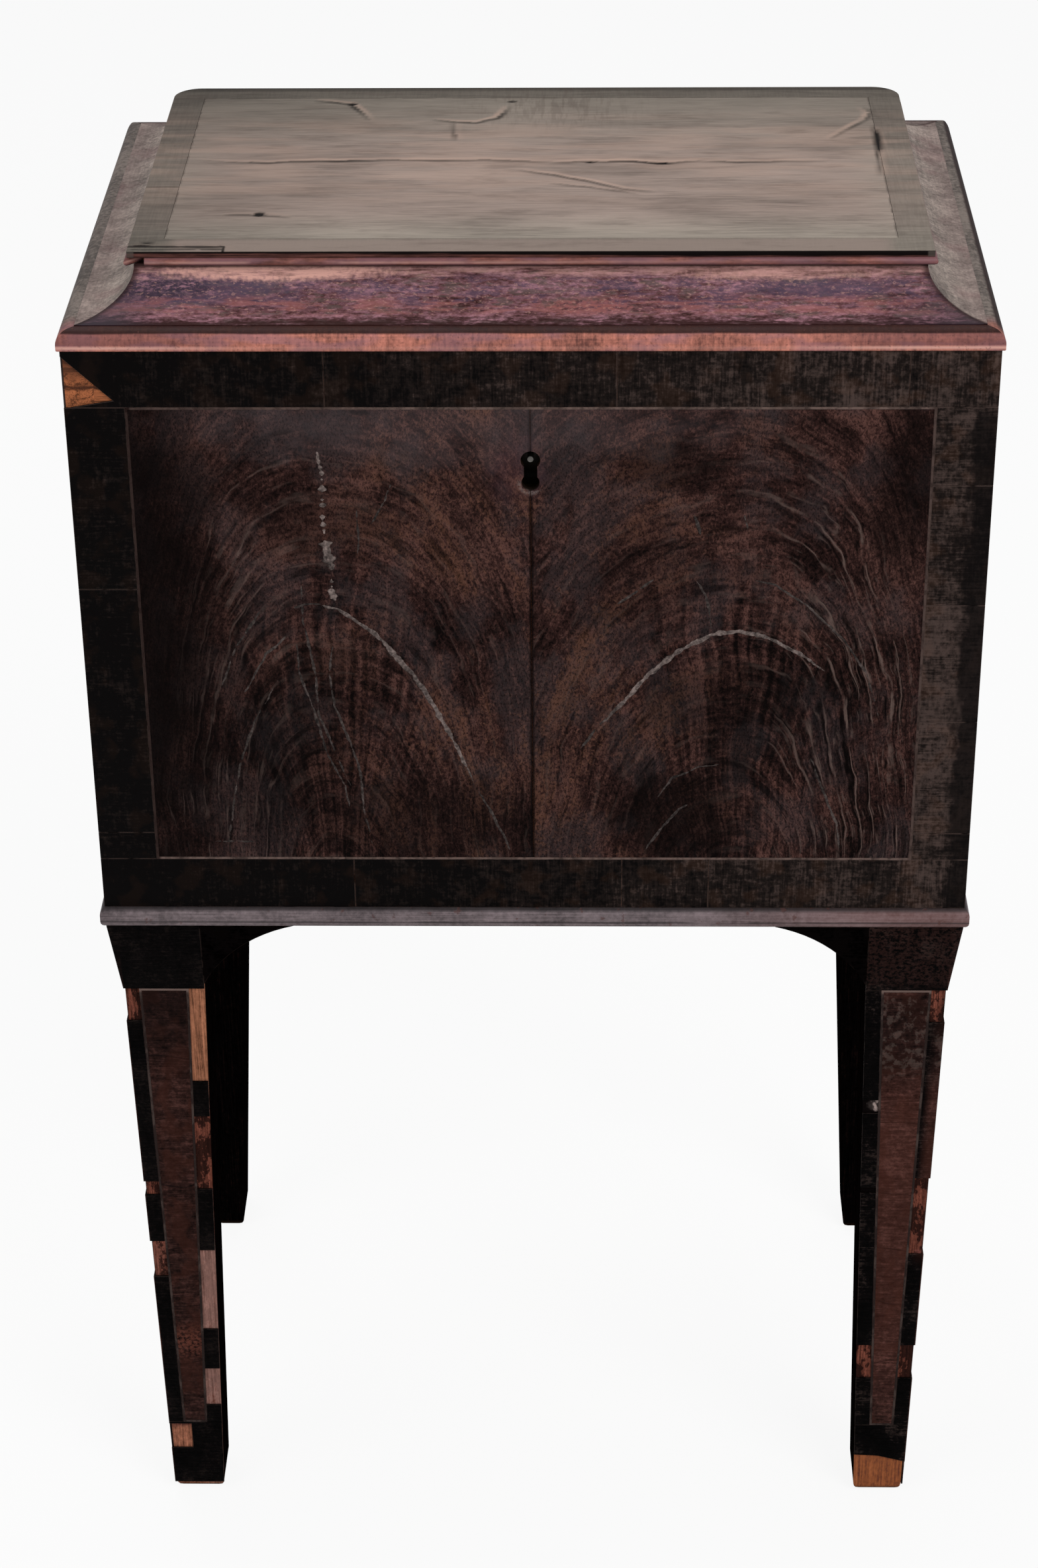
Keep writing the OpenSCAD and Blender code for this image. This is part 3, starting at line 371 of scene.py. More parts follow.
# Shape of the front's figure: concentric arches that stand on a line below the field
ARCH_FOOT = JOINT_Z - 330
ARCH_RISE = 280
ARCH_POWER = 2.5
ARCH_AXIS = {LEFT: -104, RIGHT: 104}
ARCH_OUTER = {LEFT: 86, RIGHT: 92}
ARCH_INNER = {LEFT: 112, RIGHT: 138}

# Where old polish has gone nearly black, and painted shade (the first stain of each side: along the left
# leaf's outer edge and in the right leaf's upper outer corner): middle across and up, reaches, raggedness,
# weight
FRONT_STAINS_AND_SHADE = {
    LEFT: [(-208, JOINT_Z - 150, 66, 210, 0.28, 0.92), (-140, JOINT_Z - 210, 60, 80, 0.5, 0.5),
           (-108, JOINT_Z - 92, 46, 22, 0.5, 0.4), (-60, JOINT_Z - 262, 76, 30, 0.5, 0.6)],
    RIGHT: [(184, JOINT_Z - 70, 20, 56, 0.5, 0.7), (78, JOINT_Z - 262, 42, 34, 0.5, 0.75),
            (66, JOINT_Z - 60, 34, 15, 0.5, 0.6), (100, JOINT_Z - 215, 18, 50, 0.5, 0.5),
            (56, JOINT_Z - 120, 30, 40, 0.5, 0.35), (100, JOINT_Z - 190, 60, 30, 0.5, 0.4)],
}


def figured_veneer(tint, side):
    """Flame-figured leaf: nested arches of grain over a fan of feather lines, under dull polish"""
    look = Look("figured_veneer_left" if side == LEFT else "figured_veneer_right")
    sway = look.noise(62, 2, 3) - 0.5
    jitter = look.noise(9, 21) - 0.5
    across = look.x - ARCH_AXIS[side] + sway * 16 + jitter * 2
    outward = (across * side).rise(-12, 12)
    reach = outward * (ARCH_OUTER[side] - ARCH_INNER[side]) + ARCH_INNER[side]
    up = look.z - ARCH_FOOT + sway * 8
    arch = (abs(across / reach) ** ARCH_POWER + abs(up / ARCH_RISE) ** ARCH_POWER) ** (1 / ARCH_POWER)
    fan = across / (up + 70)

    def arch_grain(count, drift, *noise):
        """Noise in lines that follow the arches"""
        return look.noise(1, *noise, at=look.vector(arch * count, look.x * drift, look.z * drift))

    broad = arch_grain(11, 0.012, 3, 4, 0.62)
    lines = arch_grain(52, 0.03, 4, 3, 0.6)
    hair = arch_grain(130, 0.09, 5, 3)
    feather = look.noise(1, 6, 3, 0.6, at=look.vector(fan * 66, arch * 3, 0.5))
    mottle = look.noise((2.2, 2.2, 2.8), 7, 4, 0.75, 0.8)
    cloud = look.noise((46, 46, 60), 8 + side, 4, 0.6)
    pore = look.noise((0.9, 0.9, 1.6), 10, 2, 0.6).rise(0.5, 0.64)

    under_arch = arch.rise(0.86, 0.6) * abs(fan).rise(0.42, 0.1)
    centre = abs(look.x).rise(150, 20)
    tone = broad * 0.22 + cloud * 0.36 + mottle * 0.5 + (lines - 0.5) * 0.2 + (hair - 0.5) * 0.22
    tone = tone + (feather - 0.5) * (under_arch * 0.5 + 0.06) + centre * 0.02
    tone = tone + look.z.rise(JOINT_Z - 220, JOINT_Z - 50) * 0.012
    look.base = look.ramp(tone, (0.44, tint.field_dark * 0.4), (0.56, tint.field_mid * 0.92),
                          (0.68, tint.field_light * 1.06))
    violet = look.noise((34, 34, 46), 18, 4, 0.6).rise(0.47, 0.6)
    look.lay(violet * 0.34, tint.waist_mauve * 0.2)
    gold = (broad * 0.5 + mottle * 0.5).rise(0.49, 0.6) * cloud.rise(0.42, 0.56) * (centre * 0.85 + 0.06)
    look.lay(gold * 0.46, tint.field_gold)
    look.lay(pore * 0.62, tint.field_dark * 0.4)
    dark_line = lines.rise(0.44, 0.34) * look.noise(30, 12).rise(0.42, 0.58)
    look.lay(dark_line * 0.55, tint.field_dark * 0.3)
    growth_lines(look, tint, side, across, arch, broad)
    joint = abs(look.x + (look.noise(24, 15, 3) - 0.5) * 1.2).rise(1.6, 0.5)
    look.lay(joint * 0.8, tint.field_dark * 0.25)

    here = (look.x, look.z)
    # Old polish gone nearly black, and painted shade along the leaves' outer parts
    look.lay(look.blotches(here, FRONT_STAINS_AND_SHADE[side]), tint.field_dark * 0.3)
    look.lay(look.blotch(here, -25, STRING_TOP, 140, 34) * 0.1, tint.waist_mauve)
    look.lay(look.blotch(here, -6, JOINT_Z - 64, 16, 20) * 0.22, tint.cove_mauve * 0.42)
    look.lay(key_rim(look), tint.filler * 0.8)
    height = lines * 0.16 + mottle * 0.16 + feather * 0.1 - pore * 0.1 - look.craze(3.6, 3) * 0.04
    rough = look.noise(40, 14, 3) * 0.2 + 0.46 + pore * 0.1
    return look.finish(rough, height, 0.025)


def growth_lines(look, tint, side, across, arch, broad):
    """Adds thin pale growth lines that follow the arches, each with a dark line inside it, partly grain and
    partly painted shade
    """
    phase = (arch * 15 + (broad - 0.5) * 2.2).math("FRACT")
    quick = (arch * 34 + (broad - 0.5) * 5).math("FRACT")
    flank = (across * side).rise(-10, 60) * arch.rise(0.2, 0.5)
    breaks = look.noise((14, 14, 22), 11, 3).rise(0.42, 0.58)
    faint = look.noise(12, 16, 3).rise(0.48, 0.62)
    weight = flank * 0.85 + 0.22 if side == RIGHT else flank * 0.6 + 0.24
    weight = weight * arch.rise(1.12, 0.9)
    # Dark lines beside the pale ones: grain, and painted shade beside each pale line
    dark = (phase.near(0.3, 0.2) * 0.9).most(quick.near(0.25, 0.25) * 0.6) * breaks * (weight + 0.1)
    look.lay(dark, tint.field_dark * 0.3)
    pale = (phase.near(0.55, 0.11) * breaks * 0.8).most(quick.near(0.6, 0.16) * faint * 0.4)
    look.lay(pale * weight, tint.string_pale * 0.6)


def key_rim(look):
    """Share of pale worn rim left of and under the keyhole's foot"""
    below = look.z - KEY_FOOT_Z
    from_foot = (look.x * look.x + below * below) ** 0.5
    ragged = look.noise(2.4, 17, 3, 0.7)
    rim = (from_foot + (ragged - 0.5) * 5).within(4.8, 6.8, 0.8) * (below + look.x * 0.5).rise(0, -4)
    return rim * ragged.rise(0.42, 0.58) * 0.42


def front_crossband(tint, along, name):
    """Nearly black crossbanding with smudged, worn grain; painted light makes it paler towards the right,
    and painted shade darkens the right outer edge
    """
    look = Look(name)
    grain = look.streaks(along, 0.9, 12, 1)
    counter = look.streaks(Z_AXIS if along == X_AXIS else X_AXIS, 1.5, 8, 2)
    mottle = look.noise(2.6, 6, 4, 0.7)
    cloud = look.noise(15, 3, 5, 0.65)
    # Painted light: the banding is laid paler towards the right, the left upright band a little darker and
    # the right one a little lighter
    painted_light_to_right = look.x.rise(-HALF_W * 0.9, HALF_W)
    left_band = look.x.rise(-STRING_X + 1, -STRING_X - 1)
    right_band = look.x.rise(STRING_X - 1, STRING_X + 1)
    tone = grain * 0.24 + counter * 0.16 + mottle * 0.3 + cloud * 0.3
    tone = tone + (look.attribute("tone") - 0.5) * 0.06 + (painted_light_to_right - 0.5) * 0.13
    tone = tone + right_band * 0.012 - left_band * 0.02
    look.base = look.ramp(tone, (0.44, tint.band_dark * 0.6), (0.54, tint.band_light * 0.25),
                          (0.65, tint.band_light * 1.25))
    red = look.noise(15, 5, 4).rise(0.5, 0.62) * (painted_light_to_right * 0.35 + 0.15)
    look.lay(red, tint.field_gold * 0.22, "SCREEN")
    # Painted shade along the right band's outer edge, near black
    ragged = look.x + (look.noise((7, 7, 9), 8, 3) - 0.5) * 16
    painted_edge_shade = ragged.rise(HALF_W - 14, HALF_W - 9) * look.z.rise(STRING_TOP, STRING_TOP - 6)
    look.lay(painted_edge_shade * 0.85, tint.band_dark)
    gap = look.attribute("arris") * look.noise(9, 9).rise(0.35, 0.5)
    look.lay(gap * (painted_light_to_right * 0.3 + 0.45), tint.string_pale * 0.42)
    return look.finish(0.5 + cloud * 0.2, grain * 0.12 + counter * 0.08 + mottle * 0.12, 0.035)


def inlaid_line(tint):
    """Thin pale stringing, darker at the sides and at the top string's left end, and in places worn away"""
    look = Look("inlaid_line")
    gone = look.noise(12, 1, 4, 0.7).rise(0.44, 0.58)
    nick = look.noise(3, 2).rise(0.5, 0.62)
    # The side strings and the left end of the top string are laid darker
    left_string_dimmed = look.x.rise(-STRING_X + 3, -STRING_X + 1) * 0.86
    right_string_dimmed = look.x.rise(STRING_X - 3, STRING_X - 1) * 0.5
    top_left = look.z.rise(STRING_TOP - 3, STRING_TOP - 1) * look.x.rise(-60, -170) * 0.5
    look.base = look.mix(gone * 0.5 + nick * 0.3, tint.string_pale * 0.62, tint.string_pale * 0.12)
    look.lay(left_string_dimmed + right_string_dimmed + top_left, tint.field_mid * 0.4)
    return look.finish(0.55, nick * -0.08, 0.06)


def plain_wood(name, along, tone, shadow, ring=5.0, seed=0):
    """Straight-grained wood with growth rings, pores and dirt, running along one axis"""
    look = Look(name)
    rings = look.rings(drawn_out(along, ring * 5, ring * 70), 75, seed + 1, bend=0.3)
    streak = look.streaks(along, 0.8, 46, seed + 2)
    pore = look.streaks(along, 0.45, 7, seed + 3, 1).rise(0.6, 0.72)
    grime = look.noise(48, seed + 4, 5, 0.6).rise(0.44, 0.66)
    look.base = look.shades(rings * 0.32 + streak * 0.68, tone, (0.3, 0.56), (0.52, 1), (0.75, 1.22))
    look.lay(pore * 0.5, tone * 0.3)
    look.lay(grime * 0.35, shadow)
    return look.finish(0.72 + grime * 0.1, streak * 0.10 + rings * 0.03 - pore * 0.12, 0.2)


def side_veneer(tint):
    """Plain upright veneer of the sides, darker towards its edges, with drip marks and rubbing"""
    look = Look("side_veneer")
    rings = look.rings((26, 26, 420), 60, 1)
    streak = look.streaks(Z_AXIS, 0.9, 40, 2)
    cloud = look.noise(70, 3, 5, 0.6)
    pore = look.streaks(Z_AXIS, 0.5, 6, 4, 1).rise(0.6, 0.7)
    speck = look.noise(1.4, 5, 1).rise(0.68, 0.78)
    look.base = look.ramp(rings * 0.26 + streak * 0.34 + cloud * 0.4, (0.33, tint.field_dark),
                          (0.5, tint.side_brown), (0.7, tint.field_gold * 0.9))
    edge = abs(look.y).rise(118, 148).most(look.z.rise(CASE_Z + 26, CASE_Z))
    look.lay(edge * (0.4 + cloud * 0.5), tint.band_dark)
    look.lay(pore * 0.5, tint.band_dark)
    look.lay(speck * 0.35, tint.filler)
    height = streak * 0.08 - pore * 0.07 + look.craze(4, 2) * -0.02
    return look.finish(0.46 + cloud * 0.16, height, 0.16)


def case_board(tint, name, along, seed):
    """Boards of the case: dry orange wood where veneer is lost outside, brown inside"""
    look = Look(name)
    rings = look.rings(drawn_out(along, 24, 380), 70, seed)
    streak = look.streaks(along, 0.8, 30, seed + 1)
    pore = look.streaks(along, 0.5, 6, seed + 2, 1).rise(0.58, 0.7)
    share = rings * 0.2 + streak * 0.8
    bare = look.shades(share, tint.bare_orange, (0.36, 0.3), (0.5, 0.75), (0.66, 1))
    inside = look.shades(share, tint.case_inside, (0.3, 0.5), (0.52, 1), (0.75, 1.3))
    outside = look.y.rise(FRONT_Y + 2.2, FRONT_Y + 1.2)
    look.base = look.mix(outside, inside, bare)
    ragged = look.z + (look.noise(7, seed + 5, 3) - 0.5) * 9
    scar = ragged.near(JOINT_Z - 19, 2.2) * look.x.rise(-196, -212)
    look.lay(outside * scar * 0.9, tint.bare_red * 0.1)
    look.lay(outside * ragged.rise(JOINT_Z - 19, JOINT_Z - 10) * 0.62, tint.bare_red * 0.22)
    # Painted shade inside the keyhole
    key = abs(look.x).rise(8, 7) * look.z.within(JOINT_Z - 76, JOINT_Z - 50, 1)
    look.lay(key, tint.field_dark * 0.3)
    look.lay(key_rim(look) * outside, tint.filler * 0.8)
    grime = look.noise(50, seed + 4, 5).rise(0.42, 0.68)
    look.lay(grime * 0.45, tint.case_inside * 0.3)
    look.lay(pore * 0.45, tint.case_inside * 0.25)
    return look.finish(0.78, streak * 0.14 - pore * 0.14 + rings * 0.03, 0.1)


def back_board(tint):
    """Unveneered back: broad brown boarding with dark old stain, scratches and pale wear"""
    look = Look("back_board")
    rings = look.rings((380, 60, 34), 56, 5, 4, 0.5)
    streak = look.streaks(X_AXIS, 0.8, 60, 6)
    pore = look.streaks(X_AXIS, 0.5, 8, 7, 1).rise(0.58, 0.7)
    cloud = look.noise(90, 8, 5, 0.6)
    share = rings * 0.3 + streak * 0.4 + cloud * 0.3
    brown = tint.case_inside
    look.base = look.shades(share, brown, (0.32, 0.18), (0.5, 0.5), (0.72, 0.95))
    look.lay(look.y.rise(136.5, 135.5), look.shades(share, brown, (0.3, 0.5), (0.7, 1.25)))
    look.lay(pore * 0.5, brown * 0.15)
    scratch = look.streaks(Z_AXIS, 0.7, 50, 9, 1).rise(0.66, 0.72)
    look.lay(scratch * 0.3, tint.filler)
    return look.finish(0.6 + cloud * 0.2, streak * 0.12 - pore * 0.12 + rings * 0.05, 0.18)


# How much of a cove's height and of its depth someone looking down at it sees
SEEN_UP = 0.87
SEEN_IN = 0.5
# The front cove's stains lie in millimetres across and in this many steps up the cove
COVE_STEPS = 30


def cove_run(look, along):
    """How far up a cove a point seems to lie: 0 at its toe, 1 at its top"""
    place, out = (look.y, RAIL_OUT_Y) if along == X_AXIS else (look.x, RAIL_OUT_X)
    inward = abs(place) * -1 + out
    seen = (look.z - BEAD_TOP) * SEEN_UP + inward * SEEN_IN
    return seen / ((RAIL_TOP - BEAD_TOP) * SEEN_UP + COVE_DEPTH * SEEN_IN)


def bare_inside(look, tint, along, inside):
    """Shows unpolished wood on the hidden inner faces of a moulding"""
    streak = look.streaks(along, 0.8, 40, 31)
    look.lay(inside, look.shades(streak, tint.case_inside, (0.3, 0.5), (0.7, 1.2)))


def front_cove(tint):
    """Red and violet polish of the front cove, hazed and mottled: dark polish and painted shade at the toe,
    painted highlight at the crest, painted shade towards the ends and at the mitres, painted shadow under
    the nosing
    """
    look = Look("front_cove")
    run = cove_run(look, X_AXIS)
    here = (look.x, run * COVE_STEPS)
    grain = look.noise((3.6, 2, 1.3), 1, 4, 0.72)
    smear = look.noise((24, 6, 2.2), 2, 4, 0.62)
    cloud = look.noise((44, 30, 8), 3, 4, 0.6)
    hue = look.noise((15, 7, 3), 4, 3, 0.62)
    look.base = look.ramp(grain * 0.42 + smear * 0.34 + cloud * 0.24, (0.39, tint.toe_polish_and_shade * 0.7),
                          (0.47, tint.cove_red * 0.66), (0.53, tint.cove_mauve * 0.98),
                          (0.62, tint.cove_mauve * 2))
    look.lay(hue.rise(0.47, 0.38) * 0.55, tint.cove_dusty * 0.4)
    violet = look.blotches(here, [(-168, 18, 66, 9, 0.35, 0.9), (140, 18.5, 42, 5.5, 0.35, 0.85)])
    violet = violet.most(hue.rise(0.48, 0.58) * run.within(0.34, 0.8, 0.1) * 0.7)
    look.lay(violet * (grain.rise(0.62, 0.42) * 0.45 + 0.5), tint.cove_violet * 0.86)
    navy = look.blotch(here, -178, 19, 32, 6, 0.35) * grain.rise(0.6, 0.44)
    look.lay(navy * 0.75, tint.cove_violet * 0.3)
    ember = look.blotch(here, 26, 9.5, 26, 4.5, 0.4) * grain.rise(0.4, 0.56) * 0.9
    low = run.within(0.2, 0.48, 0.08) * smear.rise(0.47, 0.58) * 0.6
    look.lay(low.most(ember), tint.cove_ember * 1.1)
    speck = look.noise((2.2, 1.4, 1.0), 5, 2, 0.6).rise(0.56, 0.68)
    look.lay(speck * run.within(0.16, 0.8, 0.1) * 0.4, tint.peach_tone_and_highlight)
    # Dark polish gathered at the toe, with painted shade in the crease above the bead
    toe = (run + (smear - 0.5) * 0.42 + (grain - 0.5) * 0.3).rise(0.2, 0.02)
    look.lay(toe * 0.92, tint.toe_polish_and_shade * 0.5)
    # Painted highlight along the crest, strongest towards the left
    crest = look.blotches(here, [(-122, 26.5, 66, 4.6, 0.4, 1.2), (118, 26, 56, 4, 0.45, 0.7)])
    crest = crest.most((run + (smear - 0.5) * 0.5).rise(0.76, 0.94) * 0.46)
    crest = (crest * (smear.rise(0.38, 0.58) * 0.5 + grain * 0.9)).least(1)
    look.lay(crest, tint.peach_tone_and_highlight * 1.3)
    # Painted shadow under the nosing, along the cove's top
    look.lay(run.rise(0.93, 0.975) * 0.92, tint.toe_polish_and_shade * 0.35)
    # Painted shade low towards both ends
    look.lay(look.x.rise(-168, -210) * run.rise(0.76, 0.4) * 0.72, tint.cove_violet * 0.24)
    look.lay(look.x.rise(150, 212) * run.rise(0.8, 0.4) * 0.5, tint.cove_violet * 0.3)
    # Painted shade beside the mitres
    mitre_shade = (abs(look.y) - abs(look.x) + (RAIL_OUT_X - RAIL_OUT_Y)).rise(4.5, 0.5)
    look.lay(mitre_shade * 0.8, tint.toe_polish_and_shade * 0.3)
    inside = look.y.rise(-RAIL_IN_Y - 1, -RAIL_IN_Y).most(look.z.rise(JOINT_Z + 1, JOINT_Z))
    bare_inside(look, tint, X_AXIS, inside)
    return look.finish(0.42 + grain * 0.2 + inside * 0.3, grain * 0.2 + smear * 0.1, 0.13)


def dusty_cove(tint, along, name, shade):
    """Worn, dusty cove of a side or the back: grey-brown and speckled, paler towards its crest"""
    look = Look(name)
    run = cove_run(look, along)
    across_grain = look.noise((3, 3, 8) if along == X_AXIS else (8, 3, 8), 1, 4, 0.65)
    streak = look.streaks(along, 1.1, 36, 2)
    cloud = look.noise(20, 3, 5, 0.6)
    mottle = look.noise(1.9, 5, 4, 0.75)
    dusty = tint.cove_dusty * shade
    look.base = look.shades(across_grain * 0.12 + streak * 0.12 + cloud * 0.32 + mottle * 0.44, dusty,
                            (0.38, 0.42), (0.5, 1.15), (0.62, 2.2))
    look.lay(look.noise(22, 4, 3).rise(0.5, 0.68) * 0.26, tint.cove_red * (shade * 0.9))
    look.lay(run.rise(0.4, 0.0) * (0.1 + mottle * 0.4), tint.cove_red * 0.5)
    look.lay(run.rise(0.7, 1.0) * 0.5, dusty * 2.2)
    # Painted shade beside the mitre, on the right
    to_mitre = abs(look.x) - abs(look.y) - (RAIL_OUT_X - RAIL_OUT_Y)
    side_mitre_shade = (to_mitre * (1 if along == Y_AXIS else -1)).rise(2.4, 0.4)
    look.lay(side_mitre_shade * look.x.rise(-10, 10) * 0.7, tint.toe_polish_and_shade * 0.5)
    limit, place = (RAIL_IN_X, abs(look.x)) if along == Y_AXIS else (RAIL_IN_Y, abs(look.y))
    bare_inside(look, tint, along, place.rise(limit + 1, limit).most(look.z.rise(JOINT_Z + 1, JOINT_Z)))
    return look.finish(0.62, across_grain * 0.1 + streak * 0.1 + mottle * 0.16, 0.15)


def rubbed_bead(tint, along, name, shade):
    """Rubbed salmon bead: a painted highlight along its lower edge and painted shade along its top; grey or
    black at the sides
    """
    look = Look(name)
    streak = look.streaks(along, 1.0, 34, 1)
    cloud = look.noise(40, 2, 4, 0.6)
    rays = look.noise((2.0, 9, 12) if along == X_AXIS else (9, 2.0, 12), 4, 3, 0.65)
    mottle = look.noise(2.6, 5, 4, 0.7)
    share = (look.z - JOINT_Z) / (BEAD_TOP - JOINT_Z)
    salmon = tint.bead_salmon * shade
    look.base = look.ramp(streak * 0.14 + cloud * 0.28 + rays * 0.3 + mottle * 0.28,
                          (0.39, tint.nosing_red * (0.6 * shade)), (0.5, salmon * 0.86),
                          (0.61, salmon * 1.4))
    violet = look.noise((30, 30, 8), 6, 3).rise(0.46, 0.6)
    look.lay(violet * 0.5, tint.cove_mauve * 1.25)
    # Painted highlight along the bead's lower edge
    peach_highlight = tint.peach_tone_and_highlight * (1.25 * shade)
    if along == X_AXIS:
        ends = abs(look.x + 8).rise(112, 196)
        look.lay(ends * share.within(0.3, 0.9, 0.08) * 0.62, tint.cove_red * 0.62)
        look.lay(share.near(0.2, 0.14) * (ends * 0.7 + 0.16), peach_highlight)
        # Painted shade along the top, under the cove
        look.lay((share + (cloud - 0.5) * 0.1).rise(0.8, 0.88) * 0.94, tint.toe_polish_and_shade * 0.28)
    else:
        dusty = look.shades(mottle * 0.6 + cloud * 0.4, tint.cove_dusty, (0.42, 0.34), (0.58, 0.9))
        look.lay(look.y.rise(-150, -128), dusty)
        edge = (look.x - HALF_W).rise(-3.2, -1.4)
        look.lay(edge * look.y.rise(-150, -138) * 0.94, tint.toe_polish_and_shade * 0.3)
        # Painted highlight along the lower edge, near the front
        look.lay(share.near(0.2, 0.14) * look.y.rise(-138, -148) * 0.7, peach_highlight)
    pits = look.noise(1.6, 3).rise(0.6, 0.7)
    look.lay(pits * 0.35, tint.nosing_red * 0.4)
    return look.finish(0.46 + cloud * 0.16, streak * 0.07 - pits * 0.08 + mottle * 0.1, 0.12)


def nosing_strip(tint, along, name, shade):
    """Reddish strip under the top's edge: a painted highlight along its nose and painted shade along its
    lower side
    """
    look = Look(name)
    streak = look.streaks(along, 0.8, 30, 1)
    cloud = look.noise(30, 2, 4)
    mottle = look.noise((5, 3, 1.4) if along == X_AXIS else 3, 4, 4, 0.7)
    look.base = look.shades(streak * 0.3 + cloud * 0.3 + mottle * 0.4, tint.nosing_red * (shade * 0.9),
                            (0.38, 0.4), (0.5, 1), (0.64, 1.8))
    look.lay(look.noise((34, 8, 8), 6, 3).rise(0.4, 0.56) * 0.65, tint.cove_mauve * 0.86)
    from_middle = look.z - (RAIL_TOP + BOARD_TOP - 3) / 2
    # Painted highlight along the nose, stronger to the left
    nose = from_middle.near(0, 1.1) * cloud.rise(0.36, 0.5) * look.x.rise(150, -60)
    look.lay(nose * 0.6, tint.peach_tone_and_highlight)
    # Painted shade along the strip's lower side
    look.lay(from_middle.rise(-1.2, -1.8) * 0.95, tint.toe_polish_and_shade * 0.1)
    return look.finish(0.45, streak * 0.08 + mottle * 0.1, 0.2)


def board_edge(tint):
    """Top board: brown inside the lid, its worn edge mauve-red with painted shadow as a black line under the
    veneer
    """
    look = Look("lid_top_board_wood")
    streak = look.streaks(X_AXIS, 0.8, 40, 1)
    mottle = look.noise((9, 2.2, 1.4), 2, 4, 0.7)
    share = streak * 0.6 + mottle * 0.4
    inside = look.shades(share, tint.case_inside, (0.34, 0.5), (0.5, 1), (0.66, 1.25))
    look.base = look.shades(share, tint.nosing_red, (0.38, 0.12), (0.5, 0.34), (0.64, 0.7))
    # Painted shadow: a black line under the veneer, thicker towards the right
    ragged = look.z + (look.noise((18, 18, 3), 3, 3) - 0.5) * 1.6
    depth = look.x.rise(-110, 120) * 1.5 + 0.8
    look.lay((ragged - BOARD_TOP + depth).rise(-0.5, 0.3), tint.toe_polish_and_shade * 0.05)
    look.lay(abs(look.x).rise(TOP_X - 4, TOP_X - 3) * 0.6, tint.cove_dusty * 0.4)
    outside = look.z.rise(BOARD_TOP - 3.4, BOARD_TOP - 2.8)
    look.base = look.mix(outside, inside, look.base)
    return look.finish(0.6, streak * 0.1 + mottle * 0.1, 0.08)


def bleached_top(tint, is_band):
    """Bleached, bare veneer of the lid's top, with stains, knots, dirt and painted shadow along its cracks,
    and painted highlight on their crests
    """
    look = Look("bleached_banding" if is_band else "bleached_field")
    tone = tint.top_band * 0.92 if is_band else tint.top_bare * 0.95
    sway = look.noise((150, 60, 60), 1) - 0.5
    bent = look.vector(look.x, look.y + sway * 26, look.z)
    arcs = look.noise((70, 7, 20), 2, 4, 0.6, at=bent)
    fine = look.noise((34, 1.6, 4), 3, 3, 0.6, at=bent)
    fibre = look.streaks(X_AXIS, 0.6, 16, 4)
    cloud = look.noise((90, 34, 50), 5, 4, 0.55)
    look.base = look.shades(arcs * 0.14 + fine * 0.22 + fibre * 0.28 + cloud * 0.36, tone,
                            (0.38, 0.62), (0.5, 1), (0.62, 1.24))
    rear = look.y.rise(10, 112)
    look.deepen(rear * 0.85, 0.55)
    # Painted shade: darker towards the left
    look.deepen(look.x.rise(-60, -190) * 0.9, 0.72)
    edges = rear.most(look.y.rise(-60, -104)).most(abs(look.x).rise(150, 190) * 0.6)
    look.lay(edges * 0.6, EDGE_GREY, "COLOR")
    warm = look.noise((80, 14, 12), 6, 3).rise(0.42, 0.62) * look.y.within(-50, 66, 26)
    look.lay(warm * 0.26, tint.top_warm)
    if is_band:
        counter = look.streaks(Y_AXIS, 1.0, 14, 7).rise(0.4, 0.62)
        look.deepen(counter * 0.4, 0.75)
        look.deepen(look.attribute("tone") * 0.4, 0.8)
        front = look.y.rise(-TOP_Y + 19, -TOP_Y + 12) * abs(look.x).rise(TOP_X - 16, TOP_X - 26)
        look.lay(front * 0.8, tint.top_bare * 0.86)
        look.deepen(look.y.rise(TOP_Y - 7, TOP_Y - 3) * 0.8, 0.4)
        look.lay(patch_lines(look), tint.top_stains_and_shadow * 0.06)
        # Painted shadow on the banding's edge, just under its face
        look.lay(look.z.rise(TOP_Z - 0.75, TOP_Z - 0.95) * 0.9, tint.top_stains_and_shadow * 0.08)
    else:
        rim = (abs(look.x) - FIELD_X + 1.2).most(look.y - FIELD_Y + 1.2).rise(0, 1)
        ragged = look.noise(14, 12, 4, 0.6).rise(0.4, 0.56)
        look.lay(rim * ragged * 0.5, tint.top_stains_and_shadow * 0.5)
    look.lay(look.noise((44, 10, 14), 9, 5, 0.65).rise(0.5, 0.68) * 0.28, tint.top_stains_and_shadow)
    ripple = look.noise((2.4, 18, 3), 10, 3).rise(0.46, 0.62)
    look.lay(ripple * look.x.near(10, 70) * look.y.rise(40, 84) * 0.3, tint.top_stains_and_shadow)
    # Painted highlight on the cracks' lifted crests, then dirt and painted shadow before them
    look.lay(look.attribute("pale") * 0.75, tint.top_warm * 1.3)
    look.lay(look.attribute("dirt"), tint.top_stains_and_shadow * 0.1)
    return look.finish(0.78, fibre * 0.16 + fine * 0.14 + arcs * 0.12, 0.1)


def patch_lines(look):
    """Black open joints round the patch let into the front left corner of the lid's banding"""
    waver = (look.noise((9, 9, 9), 14, 3) - 0.5) * 2.4
    patch = look.x.rise(-146.6, -147.4)
    upper = (look.y + waver).near(-TOP_Y + 6.2, 1.3) * patch
    lower = (look.y + waver * 0.5).near(-TOP_Y + 2.2, 0.9) * patch * look.noise(11, 15).rise(0.4, 0.5)
    end = look.x.near(-147.4, 1.1) * look.y.rise(-TOP_Y + 6.8, -TOP_Y + 6)
    corner = look.blotch((look.x, look.y), -188, -TOP_Y + 7, 6, 1.8, 0.4)
    joint = (look.y + waver * 0.3).near(-31.5, 1.0) * look.x.rise(-FIELD_X, -FIELD_X - 0.6) * 0.6
    return upper.most(lower).most(end).most(corner).most(joint)


